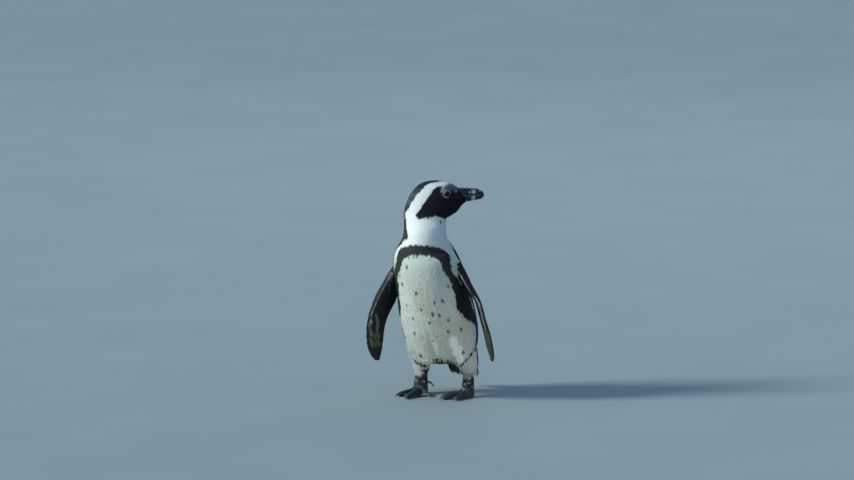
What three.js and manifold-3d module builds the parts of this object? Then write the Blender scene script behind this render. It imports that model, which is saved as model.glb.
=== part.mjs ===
// African penguin, life size, standing still on both feet with its head turned to its left.
// Millimetres, +Z up. The bird faces -Y, so +X is its left side, and the floor is z = 0.
import * as THREE from "three";
import { mergeVertices } from "three/addons/utils/BufferGeometryUtils.js";
import Module from "manifold-3d";

const wasm = await Module();
wasm.setup();

// ---------------------------------------------------------------- driving dimensions
const GAP = 0.3; // clear space left between two neighbouring pieces
const HEAD_TURN = 118; // degrees that the head looks to the bird's left of its chest
const NECK_AXIS = [-9, -67]; // where the upper neck stands, x and y
const RING_POINTS = 32; // corners round the trunk, neck and head
const RINGS_PER_SECTION = 2;
const EYE = { radius: 7.2, forward: 45.7, up: 430.3, aside: 19.2 };
const HEM = 54; // height of the feathered legs' lower edges

// Cross-sections of the feathered body from the vent up to the bill. Each lies between a point
// of the back's outline and a point of the front's, [forward, up] from the axis [x, y], in the
// vertical plane that faces `turn` degrees to the bird's left. half is half its width.
const BODY_SECTIONS = [
  { axis: [0, 0], turn: 0, back: [-10, 80], front: [22, 79], half: 14 },
  { axis: [0, 0], turn: 0, back: [-38, 82], front: [44, 78], half: 36 },
  { axis: [0, 0], turn: 0, back: [-61, 90], front: [66, 80], half: 57 },
  { axis: [-1, 0], turn: 0, back: [-70, 110], front: [80, 91], half: 70 },
  { axis: [-2, 0], turn: 0, back: [-69, 156], front: [96, 120], half: 75.5 },
  { axis: [-4, 0], turn: 0, back: [-48, 222], front: [114, 174], half: 75 },
  { axis: [-6, 0], turn: 0, back: [-28, 268], front: [120, 222], half: 72 },
  { axis: [-12, 0], turn: 0, back: [-2, 310], front: [121, 268], half: 70 },
  { axis: [-17, 0], turn: 5, back: [14, 327], front: [117, 296], half: 62 },
  { axis: [-10.5, -62], turn: 35, back: [-46, 340], front: [49, 316], half: 50.5 },
  { axis: [-10, -65.5], turn: 55, back: [-46, 350], front: [49, 338], half: 44.5 },
  { axis: NECK_AXIS, turn: 72, back: [-48, 371], front: [49, 364], half: 40.5 },
  { axis: NECK_AXIS, turn: 100, back: [-44.5, 388], front: [45, 376.5], half: 38.5 },
  { axis: NECK_AXIS, turn: HEAD_TURN, back: [-39.6, 405], front: [52, 381], half: 35.5 },
  { axis: NECK_AXIS, turn: HEAD_TURN, back: [-32.8, 421.6], front: [59.5, 386], half: 32 },
  { axis: NECK_AXIS, turn: HEAD_TURN, back: [-22.6, 437.1], front: [65.6, 390], half: 29.5 },
  { axis: NECK_AXIS, turn: HEAD_TURN, back: [-7.2, 449.8], front: [70.1, 395.6], half: 28 },
  { axis: NECK_AXIS, turn: HEAD_TURN, back: [13.3, 455], front: [73.4, 400.8], half: 26.5 },
  { axis: NECK_AXIS, turn: HEAD_TURN, back: [33.8, 454.4], front: [76.5, 404.6], half: 23.5 },
  { axis: NECK_AXIS, turn: HEAD_TURN, back: [50.2, 450.2], front: [79.5, 407.3], half: 18.5 },
  { axis: NECK_AXIS, turn: HEAD_TURN, back: [59.5, 445.4], front: [82.6, 409.3], half: 14.5 },
  { axis: NECK_AXIS, turn: HEAD_TURN, back: [66.6, 440], front: [86.1, 411], half: 11.5 },
];
const NECK_FROM = 9; // the section where the neck leaves the trunk
const HEAD_FROM = 12.5; // and where the head leaves the neck
const HEAD_TO = BODY_SECTIONS.length - 1;

// Sections along the bill, in the head's own plane.
const BILL = [
  { ahead: 67.2, culmen: 440, edge: 424, keel: 411.2, half: 11.2 },
  { ahead: 76, culmen: 439.4, edge: 424, keel: 411.2, half: 9.6 },
  { ahead: 86, culmen: 439.2, edge: 424.2, keel: 412, half: 8 },
  { ahead: 96, culmen: 438.8, edge: 424.4, keel: 413.4, half: 6.9 },
  { ahead: 104, culmen: 437.9, edge: 424.4, keel: 414.7, half: 6.2 },
  { ahead: 111, culmen: 436.1, edge: 424, keel: 416.1, half: 5.3 },
  { ahead: 116.5, culmen: 433, edge: 422.6, keel: 418.2, half: 4.2 },
  { ahead: 120, culmen: 427.4, edge: 420.6, keel: 419.6, half: 2.4 },
];
const BILL_SLANT = 19.5; // how much further ahead the keel starts than the culmen
const LOWER_BILL_ENDS = 6.15; // the place along the sections where the lower bill stops

// Limbs are rows of [x, y, z, half the width, half the thickness, heading of the width].
const TAIL = [
  [-4, 30, 112, 30, 20, 90],
  [-5, 56, 86, 32, 15, 90],
  [-6, 70, 62, 34, 9, 90],
  [-6, 79, 44, 32, 5, 90],
  [-6, 84, 32, 25, 3, 90],
];
const FLIPPER_RIGHT = [
  [-54, -48, 298, 15, 12, -20],
  [-78, -52, 267, 15.5, 11, -40],
  [-95, -54, 230, 19.5, 8.5, -55],
  [-109, -55, 200, 22.5, 6.8, -60],
  [-127, -54, 164, 20.6, 5.4, -60],
  [-135, -52, 132, 19.8, 4.6, -60],
  [-138, -49, 103, 17.6, 3.9, -60],
  [-137, -47, 84, 13.6, 3.2, -60],
  [-135, -46, 74, 9, 2.6, -60],
];
const FLIPPER_LEFT = [
  [44, -50, 294, 15, 12, 14],
  [64, -50, 272, 17.5, 11, 24],
  [82, -45, 241, 20.5, 7, 33],
  [97.5, -37, 211, 22.5, 5.6, 40],
  [106, -31.5, 174, 20.6, 4.8, 44],
  [112, -25, 145, 19.8, 4.4, 48],
  [115.5, -19.5, 118, 17.6, 3.9, 52],
  [118, -16, 100, 13.6, 3.2, 54],
  [118, -14, 90, 9, 2.6, 54],
];
const LEG_RIGHT = [
  [-40, -26, 126, 33, 38, 90],
  [-45, -18, 98, 30, 34, 90],
  [-49, -11, 76, 24, 25, 90],
  [-51, -8, 63, 19, 19, 90],
  [-51, -8, HEM, 17, 17, 90],
];
const LEG_LEFT = [
  [40, -20, 126, 33, 40, 90],
  [46, -8, 98, 31, 36, 90],
  [50, 3, 76, 25.5, 26, 90],
  [51.5, 8, 63, 21.5, 20, 90],
  [51, 8, HEM, 18.5, 18, 90],
];

// Feet: where the shin stands, and each toe's heading in degrees to the bird's left of straight
// ahead, with its reach from the shin to the tip of its claw.
const FEET = [
  { side: "right", at: [-51, -8], shin: 13.5, toes: [[-23, 68], [4, 78], [48, 50]] },
  { side: "left", at: [51, 8], shin: 12, toes: [[-2, 59], [-29, 70], [-58, 57]] },
];
const TOE_NAMES = ["outer", "middle", "inner"];
const TOE = { half: 5.8, height: 13, tipHalf: 4.8, tipHeight: 10, instep: 24 };
const CLAW = { reach: 12, half: 2.8, tip: 0.8, rise: 5.4, drop: 1.6 };
const WEB = { low: 1.4, high: 4.2, out: 0.74, between: 0.6 };
const HALLUX = { up: 22, heading: 140, reach: 16, drop: 4.5 };

// ---------------------------------------------------------------- geometry helpers
const radians = THREE.MathUtils.degToRad;
const vec = (...p) => new THREE.Vector3(...p);

// The level direction that points so many degrees to the bird's left of straight ahead.
const heading = (degrees) => vec(Math.sin(radians(degrees)), -Math.cos(radians(degrees)), 0);

// A smooth curve through rows of numbers, read at any place from 0 to rows.length - 1.
function through(rows) {
  const size = rows[0].length;
  const curve = new THREE.CubicInterpolant(rows.map((_, i) => i), rows.flat(), size);
  return (t) => Array.from(curve.evaluate(t));
}

// A closed surface over rings that all have the same number of points, with a fan over each end.
function loft(rings) {
  const n = rings[0].length;
  const middle = (ring) => ring.reduce((a, p) => a.add(p), vec()).divideScalar(n);
  const points = [...rings.flat(), middle(rings[0]), middle(rings.at(-1))];
  const start = rings.length * n;
  const last = start - n;
  const faces = [];
  for (let i = 0; i < n; i++) {
    const j = (i + 1) % n;
    for (let r = 0; r < last; r += n) {
      faces.push(r + i, r + j, r + n + j, r + i, r + n + j, r + n + i);
    }
    faces.push(start, j, i, start + 1, last + i, last + j);
  }
  const geometry = new THREE.BufferGeometry().setFromPoints(points);
  return solid(geometry.setIndex(faces));
}

function solid(geometry) {
  const plain = new THREE.BufferGeometry();
  plain.setAttribute("position", geometry.getAttribute("position"));
  plain.setIndex(geometry.index);
  const merged = mergeVertices(plain, 1e-4);
  const mesh = new wasm.Mesh({
    numProp: 3,
    vertProperties: merged.getAttribute("position").array,
    triVerts: new Uint32Array(merged.index.array),
  });
  return new wasm.Manifold(mesh);
}

function geometryOf(manifold) {
  const { vertProperties, triVerts } = manifold.getMesh();
  const geometry = new THREE.BufferGeometry();
  geometry.setAttribute("position", new THREE.BufferAttribute(vertProperties, 3));
  return geometry.setIndex(new THREE.BufferAttribute(triVerts, 1));
}

function box(width, depth, height, centre) {
  return solid(new THREE.BoxGeometry(width, depth, height).translate(...centre));
}

function ball(radius, centre) {
  return solid(new THREE.SphereGeometry(radius, 14, 8).translate(centre.x, centre.y, centre.z));
}

// A rounded limb through its rows, with tip as the length of its rounded end, and grow as how
// much larger it is made all round.
function limb(rows, { points = 14, steps = 2, tip = 0, grow = 0 } = {}) {
  const at = through(rows);
  const end = rows.length - 1;
  const place = (t) => vec(...at(THREE.MathUtils.clamp(t, 0, end)));
  const ring = (t, scale, shift) => {
    const [, , , half, thick, turn] = at(t);
    const along = place(t + 0.02).sub(place(t - 0.02)).normalize();
    const across = heading(turn);
    across.addScaledVector(along, -across.dot(along)).normalize();
    const out = vec().crossVectors(along, across);
    return Array.from({ length: points }, (_, i) => {
      const a = (2 * Math.PI * i) / points;
      return place(t)
        .addScaledVector(along, shift)
        .addScaledVector(across, (half + grow) * scale * Math.cos(a))
        .addScaledVector(out, (thick + grow) * scale * Math.sin(a));
    });
  };
  const rings = [];
  for (let i = 0; i <= end * steps; i++) {
    rings.push(ring(i / steps, 1, i === 0 ? -grow : i === end * steps && !tip ? grow : 0));
  }
  for (const a of tip ? [30, 55, 75] : []) {
    rings.push(ring(end, Math.cos(radians(a)), tip * Math.sin(radians(a))));
  }
  return loft(rings);
}

// ---------------------------------------------------------------- trunk, neck and head
// A section's middle, its lean, half its depth and width, and its turn.
function sectionRow({ axis, turn, back, front, half }) {
  const forward = (back[0] + front[0]) / 2;
  const lean = Math.atan2(back[1] - front[1], front[0] - back[0]);
  const depth = Math.hypot(back[1] - front[1], front[0] - back[0]) / 2;
  const middle = heading(turn).multiplyScalar(forward).add(vec(...axis, 0));
  return [middle.x, middle.y, (back[1] + front[1]) / 2, lean, depth, half, turn];
}
const bodyAt = through(BODY_SECTIONS.map(sectionRow));

// One ring of the body at a place along its sections, made larger by grow, and moved by shift
// along its own normal. Its corners keep to the same compass directions as the neck twists.
function bodyRing(t, grow, shift) {
  const [x, y, z, lean, depth, half, turn] = bodyAt(t);
  const ahead = heading(turn);
  const left = vec(-ahead.y, ahead.x, 0);
  const front = ahead.multiplyScalar(Math.cos(lean)).setZ(-Math.sin(lean));
  const up = vec().crossVectors(front, left);
  return Array.from({ length: RING_POINTS }, (_, i) => {
    const a = (2 * Math.PI * i) / RING_POINTS - radians(turn);
    return vec(x, y, z)
      .addScaledVector(front, (depth + grow) * Math.cos(a))
      .addScaledVector(left, (half + grow) * Math.sin(a))
      .addScaledVector(up, shift);
  });
}

function bodyPiece(from, to, grow = 0) {
  const steps = Math.round((to - from) * RINGS_PER_SECTION);
  const rings = [];
  for (let i = 0; i <= steps; i++) {
    const shift = i === 0 ? GAP / 2 - grow : i === steps ? grow - GAP / 2 : 0;
    rings.push(bodyRing(from + ((to - from) * i) / steps, grow, shift));
  }
  return loft(rings);
}

// A point of the head: so far ahead of the neck's axis, up from the floor and to its own left.
function headPoint(ahead, up, aside) {
  return vec(...NECK_AXIS, up)
    .addScaledVector(heading(HEAD_TURN), ahead)
    .addScaledVector(heading(HEAD_TURN + 90), aside);
}

function upperOrLowerBill(upper) {
  const at = through(BILL.map((b) => [b.ahead, b.culmen, b.edge, b.keel, b.half]));
  const end = upper ? BILL.length - 1 : LOWER_BILL_ENDS;
  const steps = 12;
  const points = 14;
  const rings = [];
  for (let i = 0; i <= steps; i++) {
    const t = (end * i) / steps;
    const [ahead, culmen, edge, keel, half] = at(t);
    const level = upper ? edge + GAP / 2 : edge - GAP / 2;
    const height = upper ? culmen - level : keel - level;
    const slant = BILL_SLANT * Math.max(0, 1 - t / 2.5);
    rings.push(Array.from({ length: points + 1 }, (_, k) => {
      const a = (Math.PI * k) / points;
      const side = half * Math.sign(Math.cos(a)) * Math.abs(Math.cos(a)) ** 0.8;
      const up = level + height * Math.sin(a) ** 0.8;
      const back = (slant * (culmen - up)) / (culmen - keel);
      return headPoint(ahead + back, up, upper ? side : -side);
    }));
  }
  return loft(rings);
}

// ---------------------------------------------------------------- feet
// Each foot is a shin, three toes and the webs between them, cut level at the floor.
function foot({ at: [x, y], shin, toes }) {
  const shinRows = [
    [x, y, HEM - GAP, shin, shin - 0.5, 90],
    [x, y - 1, 36, shin - 0.5, shin - 0.5, 90],
    [x, y - 3, 18, shin + 1.5, shin, 90],
    [x, y - 4, 6, shin + 2, shin + 2, 90],
    [x, y - 4, 0, shin + 1, shin + 2, 90],
  ];
  let body = limb(shinRows, { steps: 1 });
  const ankle = vec(x, y, 0);
  for (const [turn, reach] of toes) {
    const along = heading(turn);
    const row = (out, up, half, height) => {
      const p = ankle.clone().addScaledVector(along, out);
      return [p.x, p.y, up, half, height / 2, turn + 90];
    };
    const end = reach - CLAW.reach;
    body = body.add(limb([
      row(4, TOE.instep / 2 - 3, TOE.half + 1.5, TOE.instep),
      row(end * 0.45, TOE.height / 2 - 0.2, TOE.half, TOE.height + 2),
      row(end * 0.8, TOE.height / 2 - 1, TOE.half - 0.6, TOE.height - 1),
      row(end, TOE.tipHeight / 2 - 0.6, TOE.tipHalf, TOE.tipHeight),
    ], { points: 10, steps: 1, tip: 3 }));
  }
  for (let i = 0; i + 1 < toes.length; i++) {
    const [[a, ra], [b, rb]] = [toes[i], toes[i + 1]];
    const p = heading(a).multiplyScalar(ra * WEB.out);
    const q = heading(b).multiplyScalar(rb * WEB.out);
    const m = heading((a + b) / 2).multiplyScalar(((ra + rb) / 2) * WEB.between);
    const outline = new THREE.Shape([new THREE.Vector2(0, 0), new THREE.Vector2(p.x, p.y)]);
    outline.quadraticCurveTo(m.x, m.y, q.x, q.y);
    const options = { depth: WEB.high - WEB.low, bevelEnabled: false, curveSegments: 4 };
    body = body.add(solid(new THREE.ExtrudeGeometry(outline, options).translate(x, y, WEB.low)));
  }
  return body.intersect(box(400, 400, 200, [x, y, 100]));
}

// A curved claw from its root, pointing along a heading, and falling towards the floor.
function claw(root, turn, reach, drop, grow = 0) {
  const row = (out, fall, size) => {
    const p = root.clone().addScaledVector(heading(turn), out * reach);
    return [p.x, p.y, p.z - fall * drop, size, size, turn + 90];
  };
  const { half, tip } = CLAW;
  const rows = [
    row(0, 0, half),
    row(0.4, -0.2, half * 0.85),
    row(0.75, 0.8, half * 0.55),
    row(1, 2.4, tip),
  ];
  return limb(rows, { points: 8, steps: 1, grow });
}

// ---------------------------------------------------------------- the bird
const plumage = new THREE.MeshStandardMaterial({ color: 0xdadfdc, roughness: 0.8 });
const darkPlumage = new THREE.MeshStandardMaterial({ color: 0x16181c, roughness: 0.7 });
const bareSkin = new THREE.MeshStandardMaterial({ color: 0x232228, roughness: 0.6 });
const horn = new THREE.MeshStandardMaterial({ color: 0x14151a, roughness: 0.35 });
const clawHorn = new THREE.MeshStandardMaterial({ color: 0x4a4744, roughness: 0.4 });
const eyeball = new THREE.MeshStandardMaterial({ color: 0x1a0f0c, roughness: 0.05 });

const bird = new THREE.Group();
function add(name, manifold, material) {
  const mesh = new THREE.Mesh(geometryOf(manifold), material);
  mesh.name = name;
  bird.add(mesh);
}

const trunkSpace = bodyPiece(0, NECK_FROM, GAP);
add("trunk", bodyPiece(0, NECK_FROM), plumage);
add("neck", bodyPiece(NECK_FROM, HEAD_FROM), plumage);

let head = bodyPiece(HEAD_FROM, HEAD_TO);
for (const [name, side] of [["eye_left", 1], ["eye_right", -1]]) {
  const centre = headPoint(EYE.forward, EYE.up, side * EYE.aside);
  add(name, ball(EYE.radius, centre), eyeball);
  head = head.subtract(ball(EYE.radius + GAP, centre));
}
add("head", head, darkPlumage);
add("bill_upper", upperOrLowerBill(true), horn);
add("bill_lower", upperOrLowerBill(false), horn);

const legRoom = { points: 20 };
const legs = { right: limb(LEG_RIGHT, legRoom), left: limb(LEG_LEFT, legRoom) };
const legSpace = (rows) => limb(rows, { ...legRoom, grow: GAP });
const legsSpace = legSpace(LEG_RIGHT).add(legSpace(LEG_LEFT));
add("tail", limb(TAIL, { points: 14, tip: 5 }).subtract(trunkSpace).subtract(legsSpace), darkPlumage);
for (const side of ["right", "left"]) {
  add(`leg_${side}`, legs[side].subtract(trunkSpace), plumage);
}
add("flipper_right", limb(FLIPPER_RIGHT, { tip: 8 }).subtract(trunkSpace), darkPlumage);
add("flipper_left", limb(FLIPPER_LEFT, { tip: 8 }).subtract(trunkSpace), darkPlumage);

for (const { side, at, shin, toes } of FEET) {
  let flesh = foot({ at, shin, toes }).subtract(legsSpace);
  const inward = side === "right" ? 1 : -1;
  const claws = toes.map(([turn, reach], i) => {
    const root = vec(...at, CLAW.rise).addScaledVector(heading(turn), reach - CLAW.reach);
    return [TOE_NAMES[i], root, turn, CLAW.reach, CLAW.drop];
  });
  const back = inward * HALLUX.heading;
  const spur = vec(...at, HALLUX.up).addScaledVector(heading(back), shin - 2);
  claws.push(["hind", spur, back, HALLUX.reach, HALLUX.drop]);
  for (const [name, root, turn, reach, drop] of claws) {
    flesh = flesh.subtract(claw(root, turn, reach, drop, GAP));
    add(`claw_${side}_${name}`, claw(root, turn, reach, drop), clawHorn);
  }
  add(`foot_${side}`, flesh, bareSkin);
}

// The origin is the middle of the bird's box, on the floor.
const middle = new THREE.Box3().setFromObject(bird).getCenter(vec());
bird.position.set(-middle.x, -middle.y, 0);

export default bird;
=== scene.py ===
# African penguin, life size: a still model, standing on both feet with its head turned to its left.
# Metres in the file's frame; places on the bird are worked out in millimetres from GROUND.
import math

import bmesh
import bpy
import numpy as np
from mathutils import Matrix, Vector
from mathutils.bvhtree import BVHTree


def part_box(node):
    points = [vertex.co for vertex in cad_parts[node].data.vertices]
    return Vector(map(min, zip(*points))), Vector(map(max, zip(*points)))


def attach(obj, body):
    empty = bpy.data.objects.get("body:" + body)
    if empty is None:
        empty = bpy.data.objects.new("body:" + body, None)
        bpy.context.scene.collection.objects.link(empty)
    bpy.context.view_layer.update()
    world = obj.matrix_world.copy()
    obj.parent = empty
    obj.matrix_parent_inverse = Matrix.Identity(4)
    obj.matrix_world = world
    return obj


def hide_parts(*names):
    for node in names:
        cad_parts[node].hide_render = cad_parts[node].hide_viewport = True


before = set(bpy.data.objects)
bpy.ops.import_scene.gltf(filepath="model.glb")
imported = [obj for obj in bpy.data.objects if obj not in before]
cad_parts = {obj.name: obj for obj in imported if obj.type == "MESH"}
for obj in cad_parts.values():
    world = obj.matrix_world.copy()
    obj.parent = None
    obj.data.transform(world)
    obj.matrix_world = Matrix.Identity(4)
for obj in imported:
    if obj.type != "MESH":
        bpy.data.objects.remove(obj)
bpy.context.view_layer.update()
MM = 0.001

# ------------------------------------------------------------------ driving dimensions (mm)
SEED = 7
EYE_AHEAD = 45.7  # from the neck's axis to the eyes
EYE_ASIDE = 19.2
EYE_RADIUS = 7.2
EYE_UP = 430.3
CORNEA, CORNEA_RISE = 5.2, 0.5  # its radius, and how far it bulges from the eyeball
EYE_OPENING = 4.5  # radius of the gap between the lids
BILL_AHEAD, BILL_UP = 82, 424  # the root of the bill, which the head's feathers lead away from
SKIN_VOXEL = 2.4
FOOT_VOXEL = 1.1
BILL_VOXEL = 0.6
CLAW_VOXEL = 0.45
FACE_REACH = 62  # how far from the bill the skin is cut finer
LID_REACHES = (13, 11)  # and how far from the eyes it is cut finer still, twice over
SCALES_LOW, SCALES_TOP = 1.6, 53  # the scales stop over the soles and under the legs' feathers
SHIN_RUN = 8  # how far the tops of the shins run on up into the legs
TAIL_SKIN = 80  # the height where the skin of the tail starts to draw in
GAPE_AHEAD, GAPE_UP = 59.5, 421.6  # where the bare line behind the corner of the bill starts

TRUNK_PARTS = [
    "trunk", "neck", "head", "tail", "leg_right", "leg_left", "flipper_right", "flipper_left",
]
FOOT_PARTS = ["foot_right", "foot_left"]
TRUNK, NECK, HEAD, TAIL, LEG_R, LEG_L, FLIP_R, FLIP_L, FOOT_R, FOOT_L = range(10)
TOES = ["outer", "middle", "inner", "hind"]
CLAWS = [f"claw_{side}_{toe}" for side in ("right", "left") for toe in TOES]

# How deep the skin lies under the outside of the coat, for each of the trunk's parts.
COAT_DEPTH = [2.2, 1.9, 1.3, 1.6, 2.0, 2.0, 0.5, 0.5]
SEAM = 378  # the height where the neck's markings give way to the head's, over SEAM_REACH each way
SEAM_REACH = 6


def middle(node):
    low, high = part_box(node)
    return (low + high) / 2


# The point of the floor midway between the shins, and the head's own axes.
GROUND = middle("trunk") + Vector((4.25, 24.85, 0)) * MM
GROUND.z = 0
HEAD_LEFT = (middle("eye_left") - middle("eye_right")).normalized()
HEAD_AHEAD = Vector((HEAD_LEFT.y, -HEAD_LEFT.x, 0))
NECK_AXIS = (middle("eye_left") + middle("eye_right")) / 2 - HEAD_AHEAD * EYE_AHEAD * MM


def to_mm(points):
    """Places in the frame, in metres, as millimetres from GROUND."""
    return (np.asarray(points, float) - np.array(GROUND)) / MM


def to_frame(points):
    """Places in millimetres from GROUND as places in the frame, in metres."""
    return np.asarray(points, float) * MM + np.array(GROUND)


def head_coords(p):
    """Ahead of the neck's axis, aside to the head's left, and up from the floor."""
    d = p - to_mm(NECK_AXIS)
    return d @ np.array(HEAD_AHEAD), d @ np.array(HEAD_LEFT), p[..., 2]


def eye_distance(ahead, up):
    """How far places on the side of the head are from the middle of the eye."""
    return np.hypot(ahead - EYE_AHEAD, up - EYE_UP)


# ------------------------------------------------------------------ numbers and curves
def unit(v):
    return v / np.maximum(np.linalg.norm(v, axis=-1, keepdims=True), 1e-9)


def step(x, low, high):
    """0 up to low, 1 from high on, and a smooth rise between."""
    t = np.clip((x - low) / (high - low), 0, 1)
    return t * t * (3 - 2 * t)


def blend(a, b, t):
    """Colours or places a and b mixed by t, one number for each place."""
    return np.asarray(a) + (np.asarray(b) - np.asarray(a)) * np.asarray(t, float)[:, None]


def curve(x, xs, ys):
    """The height at x of the line through the points xs, ys."""
    return np.interp(x, xs, ys)


def inside(outline, x, y):
    """Which of the places x, y lie inside a closed outline."""
    found = np.zeros(x.shape, bool)
    for (x0, y0), (x1, y1) in zip(outline, outline[1:] + outline[:1]):
        crosses = (y0 > y) != (y1 > y)
        at = x0 + (y - y0) * (x1 - x0) / ((y1 - y0) or 1e-9)
        found ^= crosses & (x < at)
    return found


def edge_distance(outline, x, y):
    """Distance from the places x, y to a closed outline, negative inside it."""
    best = np.full(x.shape, 1e9)
    for (x0, y0), (x1, y1) in zip(outline, outline[1:] + outline[:1]):
        dx, dy = x1 - x0, y1 - y0
        t = np.clip(((x - x0) * dx + (y - y0) * dy) / (dx * dx + dy * dy), 0, 1)
        best = np.minimum(best, np.hypot(x - x0 - t * dx, y - y0 - t * dy))
    return np.where(inside(outline, x, y), -best, best)


def waves(p, size, seed):
    """A smooth random field between about -1 and 1, with bumps about size across."""
    r = np.random.default_rng(seed)
    total = np.zeros(len(p))
    for _ in range(6):
        k = unit(r.normal(size=3)) * 2 * math.pi / (size * r.uniform(0.7, 1.4))
        total += np.sin(p @ k + r.uniform(0, 2 * math.pi))
    return total / 3


# ------------------------------------------------------------------ the markings
# The leaning line up the middle of the trunk, and how far the chest is turned to its left.
AXIS_UP = [70, 95, 138, 198, 245, 289, 340, 400]
AXIS_X = [0, -1, -2, -4, -6, -12, -14, -9]
AXIS_Y = [-4, -5, -13, -33, -46, -60, -66, -67]
TURN_UP = [60, 120, 150, 200, 260, 300, 330]
TURN = [22, 22, 21, 17, 15, 19, 22]
BREAST_TURN = 15  # and how far the breast's feathers as a whole are

# Half widths, in degrees round the trunk, of the white belly inside the chest band and of the band's
# outer edge, and where round the trunk the black mantle starts on the left and ends on the right.
BELLY_UP = [80, 118, 141, 153, 163, 172, 181, 193, 214, 235, 257, 268, 280, 291, 299, 304, 308]
BELLY_HALF = [86, 85, 87, 82, 69, 58, 53, 47, 52, 50, 50, 46, 42, 43, 37, 26, 0]
RIGHT_BELLY, HIP_UP = 62, 116  # on the right it reaches no further than this, above the hip
BAND_UP = [246, 249, 259, 272, 281, 292, 304, 310, 316, 322, 325, 327]
BAND_HALF = [80, 78, 72, 64, 61, 62, 65, 64, 60, 44, 28, 0]
LEFT_MANTLE_UP = [246, 267, 279, 289, 303, 313, 321, 330, 345, 360, 375, 384]
LEFT_MANTLE = [84, 89, 95, 102, 105, 104, 115, 150, 200, 258, 278, 280]
RIGHT_MANTLE_UP = [246, 259, 274, 285, 300, 309, 320, 330, 338, 343, 352, 359, 375, 384]
RIGHT_MANTLE = [-54, -52, -54, -58, -64, -64, -51, -41, -20, -15, -24, -33, -39, -42]

# Outlines on the side of the head: [ahead of the neck's axis, up].
MASK = [
    (33, 444), (28, 445), (23, 442.5), (15.4, 436), (11.3, 428), (5, 419.5), (-1, 411), (-5, 405),
    (-9, 398), (-13, 394.5), (-17.4, 388.5), (-15.4, 382), (-11, 379), (1, 381), (11, 381),
    (17.4, 386), (25.6, 385), (34, 382), (40, 378), (44, 374.5), (60, 368), (110, 395),
    (110, 460), (64, 450), (60, 441), (46, 438),
]
CROWN = [
    (70, 446), (60, 449.5), (48, 452.8), (32, 453), (15.4, 450.8), (5, 447.3), (-3, 440.8), (-9, 433),
    (-15.4, 425.7), (-21.5, 417.4), (-27.7, 407), (-33.8, 396.6), (-39, 387), (-41, 374),
    (-80, 374), (-80, 480), (80, 480),
]
EYE_PATCH = [
    (34, 442.3), (33, 437), (34.4, 430), (38, 424.3), (44, 421), (50.2, 424.5), (52.9, 430.9), (56.4, 434),
    (60.5, 432.5), (66, 431.5), (67, 437), (63.5, 442), (58.4, 446.7), (51.3, 448.2), (45, 446), (40, 443.5),
]
THIGH_LINES = [  # the dark line that runs on from the flank over the front of each thigh
    [(69, 10, 133), (71, 6, 119), (72, 0, 108), (74, -10, 102.8), (70.6, -20.8, 91.8), (66, -25.1, 83.7),
     (58, -27.5, 75), (48.5, -23.2, 67.2)],
    [(-63, -62, 124), (-66, -47, 102), (-60, -45.4, 89.7), (-55, -42.2, 79.3), (-51, -36.7, 71.5),
     (-46, -30.9, 65.2), (-40.4, -24.3, 61), (-36, -15.4, 59)],
]
# Painted highlights where light catches the bulge of the left knee, as a lighter white.
KNEE_HIGHLIGHTS = [(56, -63, 121, 12), (58, -50, 102, 12), (57, -38, 86, 9), (55, -31, 76, 6)]  # x, y, up, size
FOLDS = [  # valleys beside the thighs: points along them, depth and half width
    ([(47, -80, 140), (48, -74, 122), (48.5, -62, 98), (45, -50, 82)], 7.5, 7),
    ([(20, -100, 138), (21, -90, 115), (20, -78, 92), (19, -66, 82)], 3.2, 8),
]
# Tapering white between the band and the left flipper, and behind the left flank: x, y, up, half width.
WHITE_LINES = [
    [(49, -57, 310, 8), (55.5, -62, 297, 6.3), (59, -65, 286, 6), (60.5, -66, 276, 5.4),
     (61.5, -61, 265, 4.6), (64, -53, 255, 3.9), (65.5, -47.5, 246, 3.2)],
    [(66, -10, 207, 2.4), (67, -4, 198, 3.6), (67, 2, 189, 3.4), (67, 7, 179, 2.6)],
]
SPOTS = [  # dark spots on the belly: degrees round from the front, up, and their radius
    (-7, 299, 2.3), (4, 301, 2.2), (12, 302.5, 2.2), (-11, 281, 3.2), (-29, 261, 2.8), (-23, 244, 3.6),
    (4, 229, 3.8), (59, 243, 2.8), (30, 211, 3), (43, 214, 3.6), (-15, 201, 2.6), (9, 194, 2.4),
    (25, 186, 3.4), (34, 183, 3.2), (-5, 176, 2.6), (46, 172, 3.2), (18, 169, 2.6), (-7, 143, 2.8),
    (65, 150, 3.6), (42, 149, 3.4), (18, 130, 2.4), (64, 100, 3.4), (-9, 92, 4.4), (77, 92, 3.4),
    (-40, 222, 3), (-52, 160, 3.2), (-38, 128, 2.8), (78, 372.5, 2.4),
]


def trunk_angle(p):
    """Degrees round the trunk, from the front to the bird's left, and how far out from its axis."""
    dx = p[:, 0] - curve(p[:, 2], AXIS_UP, AXIS_X)
    dy = p[:, 1] - curve(p[:, 2], AXIS_UP, AXIS_Y)
    return np.degrees(np.arctan2(dx, -dy)), np.hypot(dx, dy)


def trunk_darkness(p):
    """Where the trunk and neck are black."""
    angle = trunk_angle(p)[0] + 2.2 * waves(p, 8, 21)
    up = p[:, 2] + 1.6 * waves(p, 7, 2)
    from_front = (angle - curve(up, TURN_UP, TURN) + 180) % 360 - 180
    off = np.abs(from_front)
    belly = curve(up, BELLY_UP, BELLY_HALF)
    right_belly = np.minimum(belly, RIGHT_BELLY) + 60 * step(HIP_UP - up, 0, 20)
    past_belly = off > np.where(from_front < 0, right_belly, belly)
    in_band = (up < BAND_UP[-1]) & past_belly & (off < curve(up, BAND_UP, BAND_HALF))
    left = curve(up, LEFT_MANTLE_UP, LEFT_MANTLE)
    right = curve(up, RIGHT_MANTLE_UP, RIGHT_MANTLE)
    mantle = (angle - left) % 360 < (right - left) % 360
    black = np.where(up < BAND_UP[0], past_belly, in_band | mantle)
    return (black & ~in_white_line(p)) | thigh_line(p)


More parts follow.
